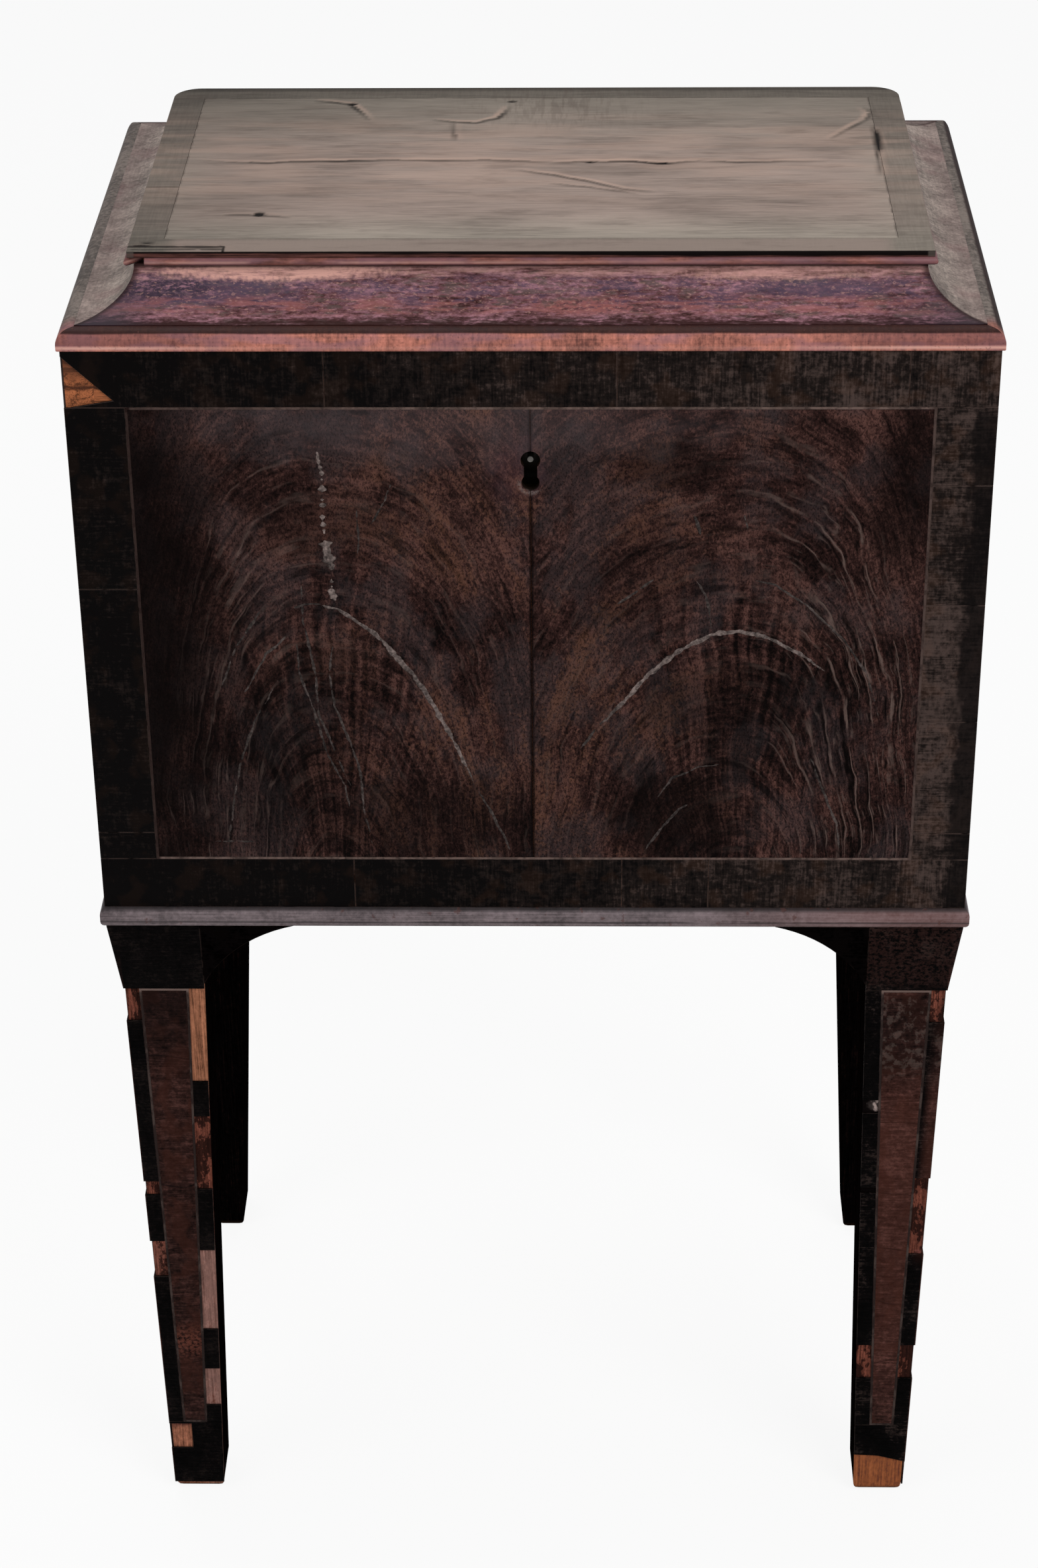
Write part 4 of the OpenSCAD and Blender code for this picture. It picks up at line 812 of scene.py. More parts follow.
def waist_polish(tint, along, name):
    """Greyed, rubbed waist moulding with a dark line along its lower third"""
    look = Look(name)
    streak = look.streaks(along, 0.9, 40, 1)
    cloud = look.noise(30, 2, 4, 0.6)
    mottle = look.noise(3, 5, 4, 0.7)
    look.base = look.shades(streak * 0.3 + cloud * 0.35 + mottle * 0.35, tint.waist_mauve * 0.66,
                            (0.38, 0.4), (0.5, 1), (0.62, 1.6))
    if along == X_AXIS:
        look.lay(look.x.rise(60, 200) * 0.4, tint.nosing_red * 0.9)
    line = look.z.near(WAIST_LOW + 4, 1.0) * look.noise((40, 40, 4), 3).rise(0.34, 0.5)
    look.lay(line * 0.75, tint.waist_mauve * 0.1)
    look.lay(look.z.rise(WAIST_TOP - 2.4, WAIST_TOP - 0.6) * 0.85, tint.waist_mauve * 0.05)
    knock = look.noise(5, 4, 3).rise(0.62, 0.7)
    look.lay(knock * 0.6, tint.nosing_red * 0.35)
    return look.finish(0.5, streak * 0.08 - knock * 0.12 - line * 0.2 + mottle * 0.1, 0.16)


# Outer and inner edge of a front leg's face at the foot and at the knee, in millimetres from the
# middle of the chest, and the width of the banding along them
LEG_OUTER = (212.5, 219.5)
LEG_INNER = (184.0, 176.0)
EDGE_BAND = 8.5


def leg_edge(rise, foot, knee):
    """Where an edge of a leg's face lies, a share of the way up from its foot to its knee"""
    return rise * (knee - foot) + foot


def leg_veneer(tint, side, name):
    """Cross-grained leg veneer: brown panel, black edge banding, block and cuff"""
    look = Look(name)
    out = abs(look.x)
    rise = look.z / KNEE_Z
    outer = leg_edge(rise, *LEG_OUTER)
    inner = leg_edge(rise, *LEG_INNER)
    from_edge = (outer - out).least(out - inner)
    panel = from_edge.rise(EDGE_BAND - 0.2, EDGE_BAND + 0.4) * look.z.within(CUFF_Z + 1, KNEE_Z - 1, 0.6)
    flank = (out - outer).rise(-0.7, -0.35) * look.z.rise(KNEE_Z + 30, KNEE_Z)

    hatch = look.noise((12, 12, 0.9), 1, 3, 0.65)
    rows = look.noise((22, 22, 3.0), 2, 3, 0.6)
    mottle = look.noise((2.2, 2.2, 1.8), 3, 4, 0.72)
    blot = look.noise((5, 5, 6), 9, 4, 0.65)
    cloud = look.noise((14, 14, 26), 4, 4, 0.6)
    # The left leg's panel is laid darker than the right one's, partly painted shade; the rear veneers and
    # the brackets are laid near black, partly painted shade
    brown = tint.leg_panel * {LEFT: 0.36, RIGHT: 0.66, REAR: 0.34}[side]
    look.base = look.shades(hatch * 0.2 + rows * 0.16 + mottle * 0.26 + cloud * 0.14 + blot * 0.24, brown,
                            (0.41, 0.1), (0.51, 1), (0.61, 3.2))
    seam = (look.z / 43 + look.noise(60, 5) * 0.6).math("FRACT").near(0.5, 0.018)
    look.lay(seam * 0.7, tint.leg_dark * 0.4)
    look.lay(look.noise((16, 16, 22), 6, 3).rise(0.48, 0.6) * 0.5, tint.bare_red * 0.14)
    if side == LEFT:
        look.lay(look.z.near(112, 18) * mottle.rise(0.4, 0.58) * 0.7, tint.bare_red * 0.45)
        look.lay(look.z.rise(285, 345) * 0.6, tint.leg_dark * 0.6)
    if side == RIGHT:
        look.lay(look.z.within(90, 290, 50) * 0.4, tint.bare_red * 0.2)
        curl = look.mix(blot.rise(0.5, 0.6), tint.leg_dark * 0.5, tint.cove_dusty * 0.22)
        look.lay(look.z.within(300, 352, 10) * 0.6, curl)
    # The edge banding too is laid palest on the right leg and near black on the rear veneers and brackets,
    # partly painted light and shade
    dark = look.ramp(hatch * 0.26 + cloud * 0.4 + mottle * 0.34, (0.42, tint.leg_dark * 0.1),
                     (0.52, tint.leg_dark * 0.45),
                     (0.64, tint.band_light * {LEFT: 0.25, RIGHT: 0.75, REAR: 0.04}[side]))
    if side == RIGHT:
        block = look.z.rise(KNEE_Z - 2, KNEE_Z + 8) * mottle.rise(0.42, 0.56) * 0.5
        dark = look.mix(block, dark, brown * 0.7)
        rubbed = (outer - out).rise(EDGE_BAND, 2) * look.z.within(180, 335, 14)
        dark = look.mix(rubbed * 0.75, dark, look.base)
    look.base = look.mix(flank if side == REAR else panel.most(flank * 0.8), dark, look.base)
    gap = look.attribute("arris") * look.noise(7, 8, 3).rise(0.42, 0.56)
    look.lay(gap * (0.12 if side == REAR else 0.3), tint.string_pale * 0.3)
    return look.finish(0.55, hatch * 0.14 + mottle * 0.14 - seam * 0.15, 0.0 if side == REAR else 0.02)


def leg_ground(tint):
    """Solid leg under its veneer: reddish and tan where it is bare, with painted shade, near black, on its
    inner and hidden faces
    """
    look = Look("leg_ground")
    streak = look.streaks(Z_AXIS, 0.9, 36, 1)
    blot = look.noise((9, 9, 22), 2, 4, 0.65)
    mottle = look.noise((2.2, 2.2, 4), 5, 4, 0.7)
    tone = streak * 0.45 + blot * 0.2 + mottle * 0.35
    pink_here = look.x.rise(-150, -160) * look.z.rise(188, 178)
    right_leg = look.x.rise(150, 160)
    red = look.shades(tone, tint.bare_red, (0.38, 0.12), (0.5, 0.5), (0.64, 1.2))
    pink = look.ramp(tone, (0.36, tint.bare_red * 0.4), (0.5, tint.peach_tone_and_highlight * 0.62),
                     (0.64, tint.peach_tone_and_highlight * 0.95))
    tan = look.shades(tone, tint.bare_tan, (0.4, 0.4), (0.52, 1.6), (0.64, 2.8))
    orange = look.ramp(tone, (0.38, tint.bare_red * 0.4), (0.5, tint.bare_orange * 0.62),
                       (0.64, tint.bare_orange))
    rise = look.z / KNEE_Z
    from_outer = leg_edge(rise, *LEG_OUTER) - abs(look.x)
    inner_side = from_outer.rise(16, 22)
    look.base = look.mix(pink_here * (inner_side * 0.75 + 0.1), red, pink)
    tan_here = (look.z.within(284, 360, 4) * inner_side).most(look.z.rise(50, 46) * 0.55)
    look.lay(tan_here, tan)
    look.lay(look.z.rise(34, 28) * right_leg, orange)
    spot = look.blotch((look.x, look.z), 215, 170, 6, 11, 0.3) * right_leg
    look.lay(spot * 0.8, tint.cove_ember * 1.5)
    chip = right_leg * inner_side * look.z.rise(160, 170)
    look.lay(chip, tint.leg_dark * 0.6)
    whitish = look.blotches((from_outer, look.z), [(32, 279, 6, 4, 0.3, 1), (32, 202, 6, 2.2, 0.2, 0.8)])
    look.lay(chip * whitish, tint.filler * 1.3)
    bite = (mottle * 0.4 + blot * 0.6).rise(0.47, 0.53) * look.z.rise(44, 54)
    bite = bite * (0.9 - tan_here * 0.6 - pink_here * inner_side * 0.5 - spot * 0.6)
    look.lay(bite, tint.leg_dark * 0.8)
    # Painted shade: faces behind the front and inward of the outer side are laid near black, the back faces
    # less dark
    front = rise * -4 + (FRONT_Y + 9)
    hidden = from_outer.rise(1.4, 2.2) * (look.y - front).rise(1.6, 2.6)
    old = look.ramp(tone, (0.4, tint.leg_dark * 0.08), (0.54, tint.leg_dark * 0.3),
                    (0.68, tint.leg_panel * 0.14))
    back = (look.y - rise * 4).rise(-FRONT_Y - 10.4, -FRONT_Y - 9.6)
    old = look.mix(back, old, look.ramp(tone, (0.4, tint.leg_dark * 0.6), (0.52, tint.leg_panel * 0.3),
                                        (0.66, tint.leg_panel * 0.9)))
    look.lay(hidden, old)
    look.lay(look.z.rise(6, 1) * 0.6, tint.case_inside * 0.2)
    return look.finish(0.7, streak * 0.14 + mottle * 0.1, 0.0)


def leg_line(tint):
    """Stringing round the leg panels, mostly dirty"""
    look = Look("leg_line")
    gone = look.noise((7, 7, 14), 1, 4, 0.66).rise(0.38, 0.54)
    look.base = look.mix(gone * 0.85, tint.string_pale * 0.24, tint.leg_panel * 0.16)
    look.lay(look.z.rise(KNEE_Z - 3, KNEE_Z - 1) * 0.7, tint.string_pale * 0.8)
    return look.finish(0.6, gone * -0.05, 0.1)


def old_brass(tint):
    """Tarnished brass: brown film in the hollows, rubbed bright in patches, with fine scratches"""
    look = Look("old_brass")
    film = look.noise(9, 1, 5, 0.65)
    scratch = look.noise((0.4, 14, 14), 2).rise(0.6, 0.68)
    look.base = look.shades(film, tint.brass, (0.34, 0.16), (0.5, 0.6), (0.68, 1))
    look.lay(scratch * 0.3, tint.brass * 1.3)
    # Painted shade: the keyway is laid nearly black and barely metallic
    keyway = abs(look.x).rise(9, 7) * look.z.within(JOINT_Z - 78, JOINT_Z - 48, 2) * look.y.rise(-128, -134)
    look.lay(keyway * 0.97, tint.field_dark * 0.3)
    return look.finish(0.62 - film * 0.45 + scratch * 0.1, film * 0.03 + scratch * 0.02, 0.1,
                       0.92 - keyway * 0.9)


def worn_steel(tint, name, shade):
    """Old steel, bright where it rubs and brown with rust elsewhere"""
    look = Look(name)
    film = look.noise(3.2, 1, 5, 0.65)
    rust = look.noise(5, 2, 4, 0.6).rise(0.5, 0.62)
    look.base = look.shades(film, tint.steel * shade, (0.36, 0.3), (0.5, 1), (0.7, 1.35))
    look.lay(rust * 0.6, RUST)
    return look.finish(0.36 + rust * 0.35 + film * 0.12, film * 0.04 + rust * 0.05, 0.5, 0.9 - rust * 0.6)


def crack_filler(tint, name, paleness):
    """Pale dust and old glue that stand in the cracks; the finest ones hold the dirtiest"""
    look = Look(name)
    grain = look.noise(1.8, 1, 3, 0.6)
    look.base = look.shades(grain * 0.6 + look.noise(20, 2, 3) * 0.4, tint.filler * paleness,
                            (0.38, 0.1), (0.5, 0.34), (0.64, 0.8))
    return look.finish(0.75, grain * 0.08, 0.1)


# Points nearer to each other than this, in millimetres, are one
WELD_GAP = 0.002
# Turns between faces, in radians: below the first they are one flat face, above the second their
# edge is eased, and below the last two they are shaded as one, in a piece and in the top's relief
FLAT_TURN = math.radians(0.4)
SHARP_TURN = math.radians(28)
SMOOTH_TURN = math.radians(35)
RELIEF_TURN = math.radians(60)


def joined_shape(node):
    """A mesh of a CAD node with its loose triangles joined and its flat faces made whole"""
    shape = bmesh.new()
    shape.from_mesh(frame["nodes"][node].data)
    bmesh.ops.remove_doubles(shape, verts=shape.verts, dist=WELD_GAP * MM)
    bmesh.ops.dissolve_limit(shape, angle_limit=FLAT_TURN, verts=shape.verts, edges=shape.edges)
    return shape


def plain_mesh(shape, name):
    """Turns a shape into a mesh and frees it"""
    mesh = bpy.data.meshes.new(name)
    shape.to_mesh(mesh)
    shape.free()
    return mesh


def islands(shape):
    """Lists of the vertices of each separate piece in a mesh, in a steady order"""
    found = []
    seen = set()
    for start in shape.verts:
        if start in seen:
            continue
        seen.add(start)
        piece = [start]
        for vert in piece:
            for edge in vert.link_edges:
                other = edge.other_vert(vert)
                if other not in seen:
                    seen.add(other)
                    piece.append(other)
        found.append(piece)
    return found


def give_tones(shape, seed):
    """Stores a number from 0 to 1 on the faces of each separate piece, for its shade"""
    layer = shape.faces.layers.float.new("tone")
    dice = random.Random(seed)
    for piece in islands(shape):
        tone = dice.random()
        for vert in piece:
            for face in vert.link_faces:
                face[layer] = tone


def ease_arrises(shape, width):
    """Rounds every sharp edge and marks the new faces"""
    layer = shape.faces.layers.float.new("arris")
    edges = [e for e in shape.edges if len(e.link_faces) == 2 and e.calc_face_angle(0) > SHARP_TURN]
    made = bmesh.ops.bevel(shape, geom=edges, offset=width, offset_type="OFFSET", segments=2, profile=0.6,
                           affect="EDGES", clamp_overlap=True)
    for face in made["faces"]:
        face[layer] = 1


def put_in_scene(name, data):
    """A new object in the scene"""
    thing = bpy.data.objects.new(name, data)
    bpy.context.scene.collection.objects.link(thing)
    return thing


def new_piece(name, mesh, material, nodes, smooth=SMOOTH_TURN):
    """Puts a finished mesh in the scene in place of CAD nodes, riding on their body"""
    for polygon in mesh.polygons:
        polygon.use_smooth = True
    mesh.set_sharp_from_angle(angle=smooth)
    mesh.materials.clear()
    mesh.materials.append(material)
    piece = put_in_scene(name, mesh)
    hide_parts(*nodes)
    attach(piece, frame["nodes"][nodes[0]]["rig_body"])


def worn(material, arris, *nodes):
    """Replaces CAD nodes by copies with eased arrises, a shade for each piece and a finish"""
    for node in nodes:
        shape = joined_shape(node)
        give_tones(shape, node)
        if arris > 0:
            ease_arrises(shape, arris)
        new_piece("worn_" + node, plain_mesh(shape, "worn_" + node), material, [node])


class Tree(Nodes):
    """One Geometry Nodes tree with named inputs"""

    def __init__(self, name):
        super().__init__(bpy.data.node_groups.new(name, "GeometryNodeTree"))
        for way in ("INPUT", "OUTPUT"):
            self.tree.interface.new_socket("Geometry", in_out=way, socket_type="NodeSocketGeometry")
        self.start = self.tree.nodes.new("NodeGroupInput")
        self.geometry = Value(self, self.start.outputs["Geometry"])

    def input(self, name, kind="NodeSocketFloat"):
        """A named input of the tree, as a value"""
        self.tree.interface.new_socket(name, in_out="INPUT", socket_type=kind)
        return Value(self, self.start.outputs[name])

    def move(self, geometry, by, scale=(1, 1, 1)):
        """Scales geometry, then moves it"""
        return self.node("GeometryNodeTransform", None,
                         {"Geometry": geometry, "Translation": by, "Scale": scale})

    def finish(self, geometry, material):
        """Ends the tree in Realize Instances and Set Material"""
        real = self.node("GeometryNodeRealizeInstances", None, [geometry])
        painted = self.node("GeometryNodeSetMaterial", None, {"Geometry": real, "Material": material})
        end = self.tree.nodes.new("NodeGroupOutput")
        self.tree.links.new(painted.socket, end.inputs["Geometry"])
        return self

    def grow(self, host, values):
        """Runs the tree on an object, removes the object and returns the result as a plain mesh"""
        modifier = host.modifiers.new("grow", "NODES")
        modifier.node_group = self.tree
        for item in self.tree.interface.items_tree:
            if item.item_type == "SOCKET" and item.in_out == "INPUT" and item.name in values:
                modifier[item.identifier] = values[item.name]
        graph = bpy.context.evaluated_depsgraph_get()
        mesh = bpy.data.meshes.new_from_object(host.evaluated_get(graph), depsgraph=graph)
        host.modifiers.remove(modifier)
        bpy.data.objects.remove(host)
        return mesh


# Sizes of a screw as shares of its head's radius, and of its tip as a share of its shank's
SCREW_SHARES = {"Head height": 0.46, "Shank radius": 0.45, "Slot width": 0.22, "Slot depth": 0.24}
TIP_SHARE = 0.45


def screw_tree(material):
    """Slotted countersunk screws on points that carry the direction of their heads"""
    tree = Tree("slotted_screws")
    head_r, head_h, shank_r, length_all, slot_w, slot_d = (
        tree.input(name) for name in ("Head radius", "Head height", "Shank radius", "Length",
                                      "Slot width", "Slot depth"))
    seed = tree.input("Seed", "NodeSocketInt")
    head = tree.node("GeometryNodeMeshCone", None,
                     {"Vertices": 28, "Radius Top": head_r, "Radius Bottom": shank_r, "Depth": head_h})
    head = tree.move(head, tree.vector(0, 0, head_h * -1))
    slot = tree.node("GeometryNodeMeshCube", None, {"Size": tree.vector(head_r * 3, slot_w, slot_d * 2)})
    head = tree.node("GeometryNodeMeshBoolean", {"operation": "DIFFERENCE"},
                     {"Mesh 1": head, "Mesh 2": slot})
    shank = tree.node("GeometryNodeMeshCone", None,
                      {"Vertices": 20, "Side Segments": 2, "Radius Bottom": shank_r * TIP_SHARE,
                       "Radius Top": shank_r, "Depth": length_all - head_h})
    shank = tree.move(shank, tree.vector(0, 0, length_all * -1))
    screw = tree.node("GeometryNodeJoinGeometry")
    for part in (head, shank):
        tree.tree.links.new(part.socket, screw.socket.node.inputs["Geometry"])

    aim = tree.node("GeometryNodeInputNamedAttribute", {"data_type": "FLOAT_VECTOR"}, {"Name": "aim"})
    turned = tree.node("FunctionNodeAlignRotationToVector", {"axis": "Z"}, {"Vector": aim})
    spin = tree.node("FunctionNodeRandomValue", {"data_type": "FLOAT"},
                     {"Min": 0.0, "Max": math.tau, "Seed": seed}, 1)
    spin = tree.node("FunctionNodeEulerToRotation", None, [tree.vector(0, 0, spin)])
    turned = tree.node("FunctionNodeRotateRotation", {"rotation_space": "LOCAL"},
                       {"Rotation": turned, "Rotate By": spin})
    placed = tree.node("GeometryNodeInstanceOnPoints", None,
                       {"Points": tree.geometry, "Instance": screw, "Rotation": turned})
    return tree.finish(placed, material)


def crack_tree(material):
    """Swells a strand of filler along drawn lines, thick and thin by chance and broken by gaps"""
    tree = Tree("crack_filler_strands")
    width, spacing, gaps, face, flatness, seed = (
        tree.input(name) for name in ("Width", "Spacing", "Gaps", "Face", "Flatness", "Seed"))
    curve = tree.node("GeometryNodeMeshToCurve", None, [tree.geometry])
    curve = tree.node("GeometryNodeResampleCurve", {"mode": "LENGTH"}, {"Curve": curve, "Length": spacing})
    noise = {"Vector": tree.node("GeometryNodeInputPosition"), "W": seed, "Detail": 2.0}
    wander = tree.node("ShaderNodeTexNoise", {"noise_dimensions": "4D"}, {**noise, "Scale": 160.0}, "Color")
    wander = tree.vector_math("SUBTRACT", wander, (0.5, 0.5, 0.5))
    wander = tree.vector_math("MULTIPLY", wander, (CRACK_WANDER * MM, 0.0, CRACK_WANDER * MM))
    curve = tree.node("GeometryNodeSetPosition", None, {"Geometry": curve, "Offset": wander})
    swell = tree.node("ShaderNodeTexNoise", {"noise_dimensions": "4D"},
                      {**noise, "Scale": 210.0, "Roughness": 0.6})
    swell = tree.node("ShaderNodeMapRange", None, {"Value": swell, "From Min": gaps, "From Max": 0.7})
    along = tree.node("GeometryNodeSplineParameter", output="Factor")
    radius = swell * (along * (1.0 - along) * 4.0) ** 0.4 * width
    curve = tree.node("GeometryNodeSetCurveRadius", None, {"Curve": curve, "Radius": radius})
    profile = tree.node("GeometryNodeCurvePrimitiveCircle", None, {"Resolution": 8, "Radius": 0.5})
    strand = tree.node("GeometryNodeCurveToMesh", None,
                       {"Curve": curve, "Profile Curve": profile, "Scale": radius, "Fill Caps": True})
    back = tree.vector(0, face * (1.0 - flatness), 0)
    return tree.finish(tree.move(strand, back, tree.vector(1.0, flatness, 1.0)), material)


def line_host(name, paths):
    """An object whose edges follow paths of points"""
    verts = [point for path in paths for point in path]
    edges = []
    first = 0
    for path in paths:
        edges += [(first + i, first + i + 1) for i in range(len(path) - 1)]
        first += len(path)
    mesh = bpy.data.meshes.new(name)
    mesh.from_pydata(verts, edges, [])
    return put_in_scene(name, mesh)


# Cracks of the front that have filled with pale dust: points across and below the lid's joint, in mm
STRONG_CRACKS = [
    [(-106, -136), (-96, -139), (-78, -153), (-69, -164), (-59, -177), (-50, -193), (-39, -216),
     (-30, -239)],
    [(33, -206), (48, -189), (59, -175), (74, -162), (89, -153), (104, -151), (117, -154), (133, -163),
     (149, -175)],
]
BEADED_CRACKS = [
    [(-104, -51), (-102, -64), (-102, -86), (-102, -100), (-99, -115), (-99, -130), (-96, -139)],
]
FINE_CRACKS = [
    [(-119, -138), (-113, -136), (-104, -136)],
    [(-30, -239), (-18, -264), (-11, -281)],
    [(24, -219), (33, -206)],
    [(-118, -151), (-117, -175), (-110, -197), (-105, -221), (-96, -241), (-93, -262)],
    [(-114, -119), (-114, -145), (-109, -175), (-108, -199), (-101, -219), (-92, -245)],
    [(-99, -155), (-102, -175), (-100, -194), (-93, -214), (-88, -232), (-87, -255), (-82, -281)],
    [(-85, -82), (-85, -109)],
    [(-126, -133), (-136, -141), (-149, -162), (-158, -186)],
    [(-120, -151), (-133, -164), (-146, -188)],
    [(-126, -175), (-141, -203), (-150, -230), (-156, -264), (-159, -281)],
    [(-79, -93), (-72, -80), (-68, -69)],
    [(-166, -274), (-141, -274)],
    [(79, -84), (84, -99)],
    [(104, -86), (107, -96)],
    [(105, -121), (120, -125), (136, -136), (155, -155), (168, -175), (177, -207)],
    [(63, -248), (71, -236), (85, -229), (97, -227)],
    [(56, -281), (66, -266), (75, -254), (87, -247)],
    [(139, -216), (147, -239), (156, -263), (159, -281)],
    [(40, -138), (62, -121)],
    [(81, -122), (87, -132), (90, -151)],
]
# Groups of cracks: their name and lines, width as a share of a crack's width, how large a part of
# the line stays empty, and paleness of the filler
CRACK_GROUPS = [("strong_cracks", STRONG_CRACKS, 4.8, 0.16, 1.0),
                ("beaded_cracks", BEADED_CRACKS, 11.0, 0.44, 1.1),
                ("fine_cracks", FINE_CRACKS, 2.6, 0.16, 0.42)]
# Spacing of a strand's points, how far it wanders off its line and how deep it lies, in millimetres,
# and its thickness as a share of its width
CRACK_SPACING = 0.8
CRACK_WANDER = 2.2
CRACK_SUNK = 0.12
CRACK_FLATNESS = 0.3

# Lifted cracks of the lid's top: path in mm, lift in mm, how open it is, which sets its dirt and painted
# shadow
TOP_CRACKS = [
    ([(-174, 8), (-156, 5), (-136, 3), (-111, 6), (-68, 7), (-28, 7), (12, 4)], 0.36, 0.6),
    ([(8, 3), (22, 4.4), (37, 3.4), (51, 4.6), (65, 1.6), (78, 4), (88, 5.6)], 0.52, 1.0),
    ([(84, 4), (104, 3), (128, 5), (150, 4)], 0.22, 0.2),
    ([(-8, -8), (11, -15), (31, -25), (46, -35), (62, -39)], 0.4, 0.35),
    ([(8, -27), (24, -31), (38, -35), (54, -42)], 0.2, 0.1),
    ([(-54, 69), (-42, 65), (-31, 64), (-20, 70), (-17, 79), (-14, 90)], 0.34, 0.5),
    ([(-42, 64), (-41, 48), (-40, 34)], 0.12, 0.1),
    ([(-118, 100), (-98, 93), (-92, 81), (-86, 67)], 0.26, 0.5),
    ([(152, 38), (162, 51), (173, 67), (176, 78), (172, 88)], 0.36, 0.35),
    ([(177.4, 58), (177.6, 36), (177, 6), (176, -20)], 0.3, 0.8),
    ([(-152, -69), (-136, -70.5), (-118, -74)], 0.14, 0.4),
    ([(-193, -112.6), (-180, -111.5), (-166, -113.6), (-148, -113.8), (-147.6, -119)], 0.1, 0.9),
    ([(-193, -32), (-178, -31.6)], 0.05, 0.5),
]
# Holes of the lid's top: place, then reach across and back, in mm
TOP_HOLES = [(-134, -70, 2.7, 2.6), (-97.4, 92.5, 2.2, 1.8), (-12.5, 97, 2.0, 1.4),
             (-187, -108, 2.4, 1.2), (177, 34, 1.1, 15), (29, 2.6, 3.0, 1.1), (64, 1.6, 6.0, 1.2)]


def distance_to_path(points, path):
    """Distance of each point to a path, on which side it lies, and how far along it is, 0 to 1"""
    best = np.full(len(points), 1e9)
    side = np.zeros(len(points))
    along = np.zeros(len(points))
    path = np.array(path, float)
    lengths = np.linalg.norm(np.diff(path, axis=0), axis=1)
    reached = np.concatenate([[0], np.cumsum(lengths)]) / lengths.sum()
    for i, (start, end) in enumerate(zip(path[:-1], path[1:])):
        step = end - start
        share = np.clip((points - start) @ step / (step @ step), 0, 1)
        offset = points - (start + share[:, None] * step)
        distance = np.linalg.norm(offset, axis=1)
        nearer = distance < best
        best = np.where(nearer, distance, best)
        side = np.where(nearer, np.sign(step[0] * offset[:, 1] - step[1] * offset[:, 0]), side)
        along = np.where(nearer, reached[i] + share * (reached[i + 1] - reached[i]), along)
    return best, side, along


def top_relief(points):
    """Height above the flat, dirt with painted shadow, and painted highlight of the lid's top veneer at
    points in mm
    """
    x, y = points.T
    # Low waves that die away towards the edges
    height = 0.05 * np.sin(x / 31 + y / 47) + 0.04 * np.sin(y / 13 + 1)
    height = height * np.clip((FIELD_X - np.abs(x)) / 12, 0, 1) * np.clip((FIELD_Y - np.abs(y)) / 12, 0, 1)
    dirt = np.zeros(len(points))
    pale = np.zeros(len(points))
    wander = np.sin(x * 0.37 + 1) * 0.2 + np.sin(x * 0.113 + y * 0.09) * 0.5
    moved = np.stack([x, y + wander], 1)
    waver = 0.74 + 0.14 * (np.sin(x * 0.13 + y * 0.31) + np.sin(x * 0.057 + 2))
    # A crack lifts the veneer behind its line; dirt and painted shadow lie before it, and its crest gets a
    # painted highlight
    for path, lift, opening in TOP_CRACKS:
        distance, side, along = distance_to_path(moved, path)
        ends = np.clip(4 * along * (1 - along), 0, 1) ** 0.6 * waver
        behind = 1.4 * lift * np.exp(-distance / 2.8) * (side > 0)
        before = 0.2 * lift * np.exp(-distance / 1.2) * (side <= 0)
        height += (behind + before) * ends
        line = np.clip(2.3 - distance / 1.3, 0, 1) * (side <= 0)
        dirt = np.maximum(dirt, (0.6 + 0.5 * opening) * ends * line)
        crest = np.clip(1.5 - np.abs(distance - 1.6) / 1.5, 0, 1) * (side > 0)
        pale = np.maximum(pale, min(1, 1.8 * lift) * ends * crest)
    # A hole is a pit that has filled with dirt
    for hole_x, hole_y, reach_x, reach_y in TOP_HOLES:
        pit = np.clip(1.3 - np.hypot((x - hole_x) / reach_x, (y + wander - hole_y) / reach_y), 0, 1)
        height -= 0.7 * pit
        dirt = np.maximum(dirt, np.clip(2.2 * pit, 0, 1))
    return height, dirt, pale


def shape_top(mesh, sizes):
    """Moves the upper points of a top veneer's mesh to its relief and stores its dirt with painted shadow,
    and its painted highlight
    """
    places = np.zeros(len(mesh.vertices) * 3)
    mesh.vertices.foreach_get("co", places)
    places = places.reshape(-1, 3) / MM
    height, dirt, pale = top_relief(places[:, :2])
    flat = TOP_Z - sizes.top_drop / MM
    share = np.clip((places[:, 2] - BOARD_TOP) / (TOP_Z - BOARD_TOP), 0, 1)
    lifted = BOARD_TOP + share * (flat - BOARD_TOP + height)
    places[:, 2] = np.clip(lifted, BOARD_TOP, TOP_Z - 0.01)
    mesh.vertices.foreach_set("co", (places * MM).ravel())
    for name, values in (("dirt", dirt), ("pale", pale)):
        layer = mesh.attributes.new(name, "FLOAT", "POINT")
        layer.data.foreach_set("value", (values * (share > 0.5)).astype(np.float32))
    mesh.update()


def cut_to_grid(shape, spacing):
    """Cuts a mesh along planes a spacing apart in x and y, so that it can follow a relief"""
    for axis in (X_AXIS, Y_AXIS):
        low = min(v.co[axis] for v in shape.verts)
        high = max(v.co[axis] for v in shape.verts)
        direction = Vector((axis == X_AXIS, axis == Y_AXIS, 0))
        count = int((high - low) / spacing)
        for i in range(1, count):
            place = direction * (low + (high - low) * i / count)
            bmesh.ops.bisect_plane(shape, geom=shape.verts[:] + shape.edges[:] + shape.faces[:],
                                   dist=1e-7, plane_co=place, plane_no=direction)


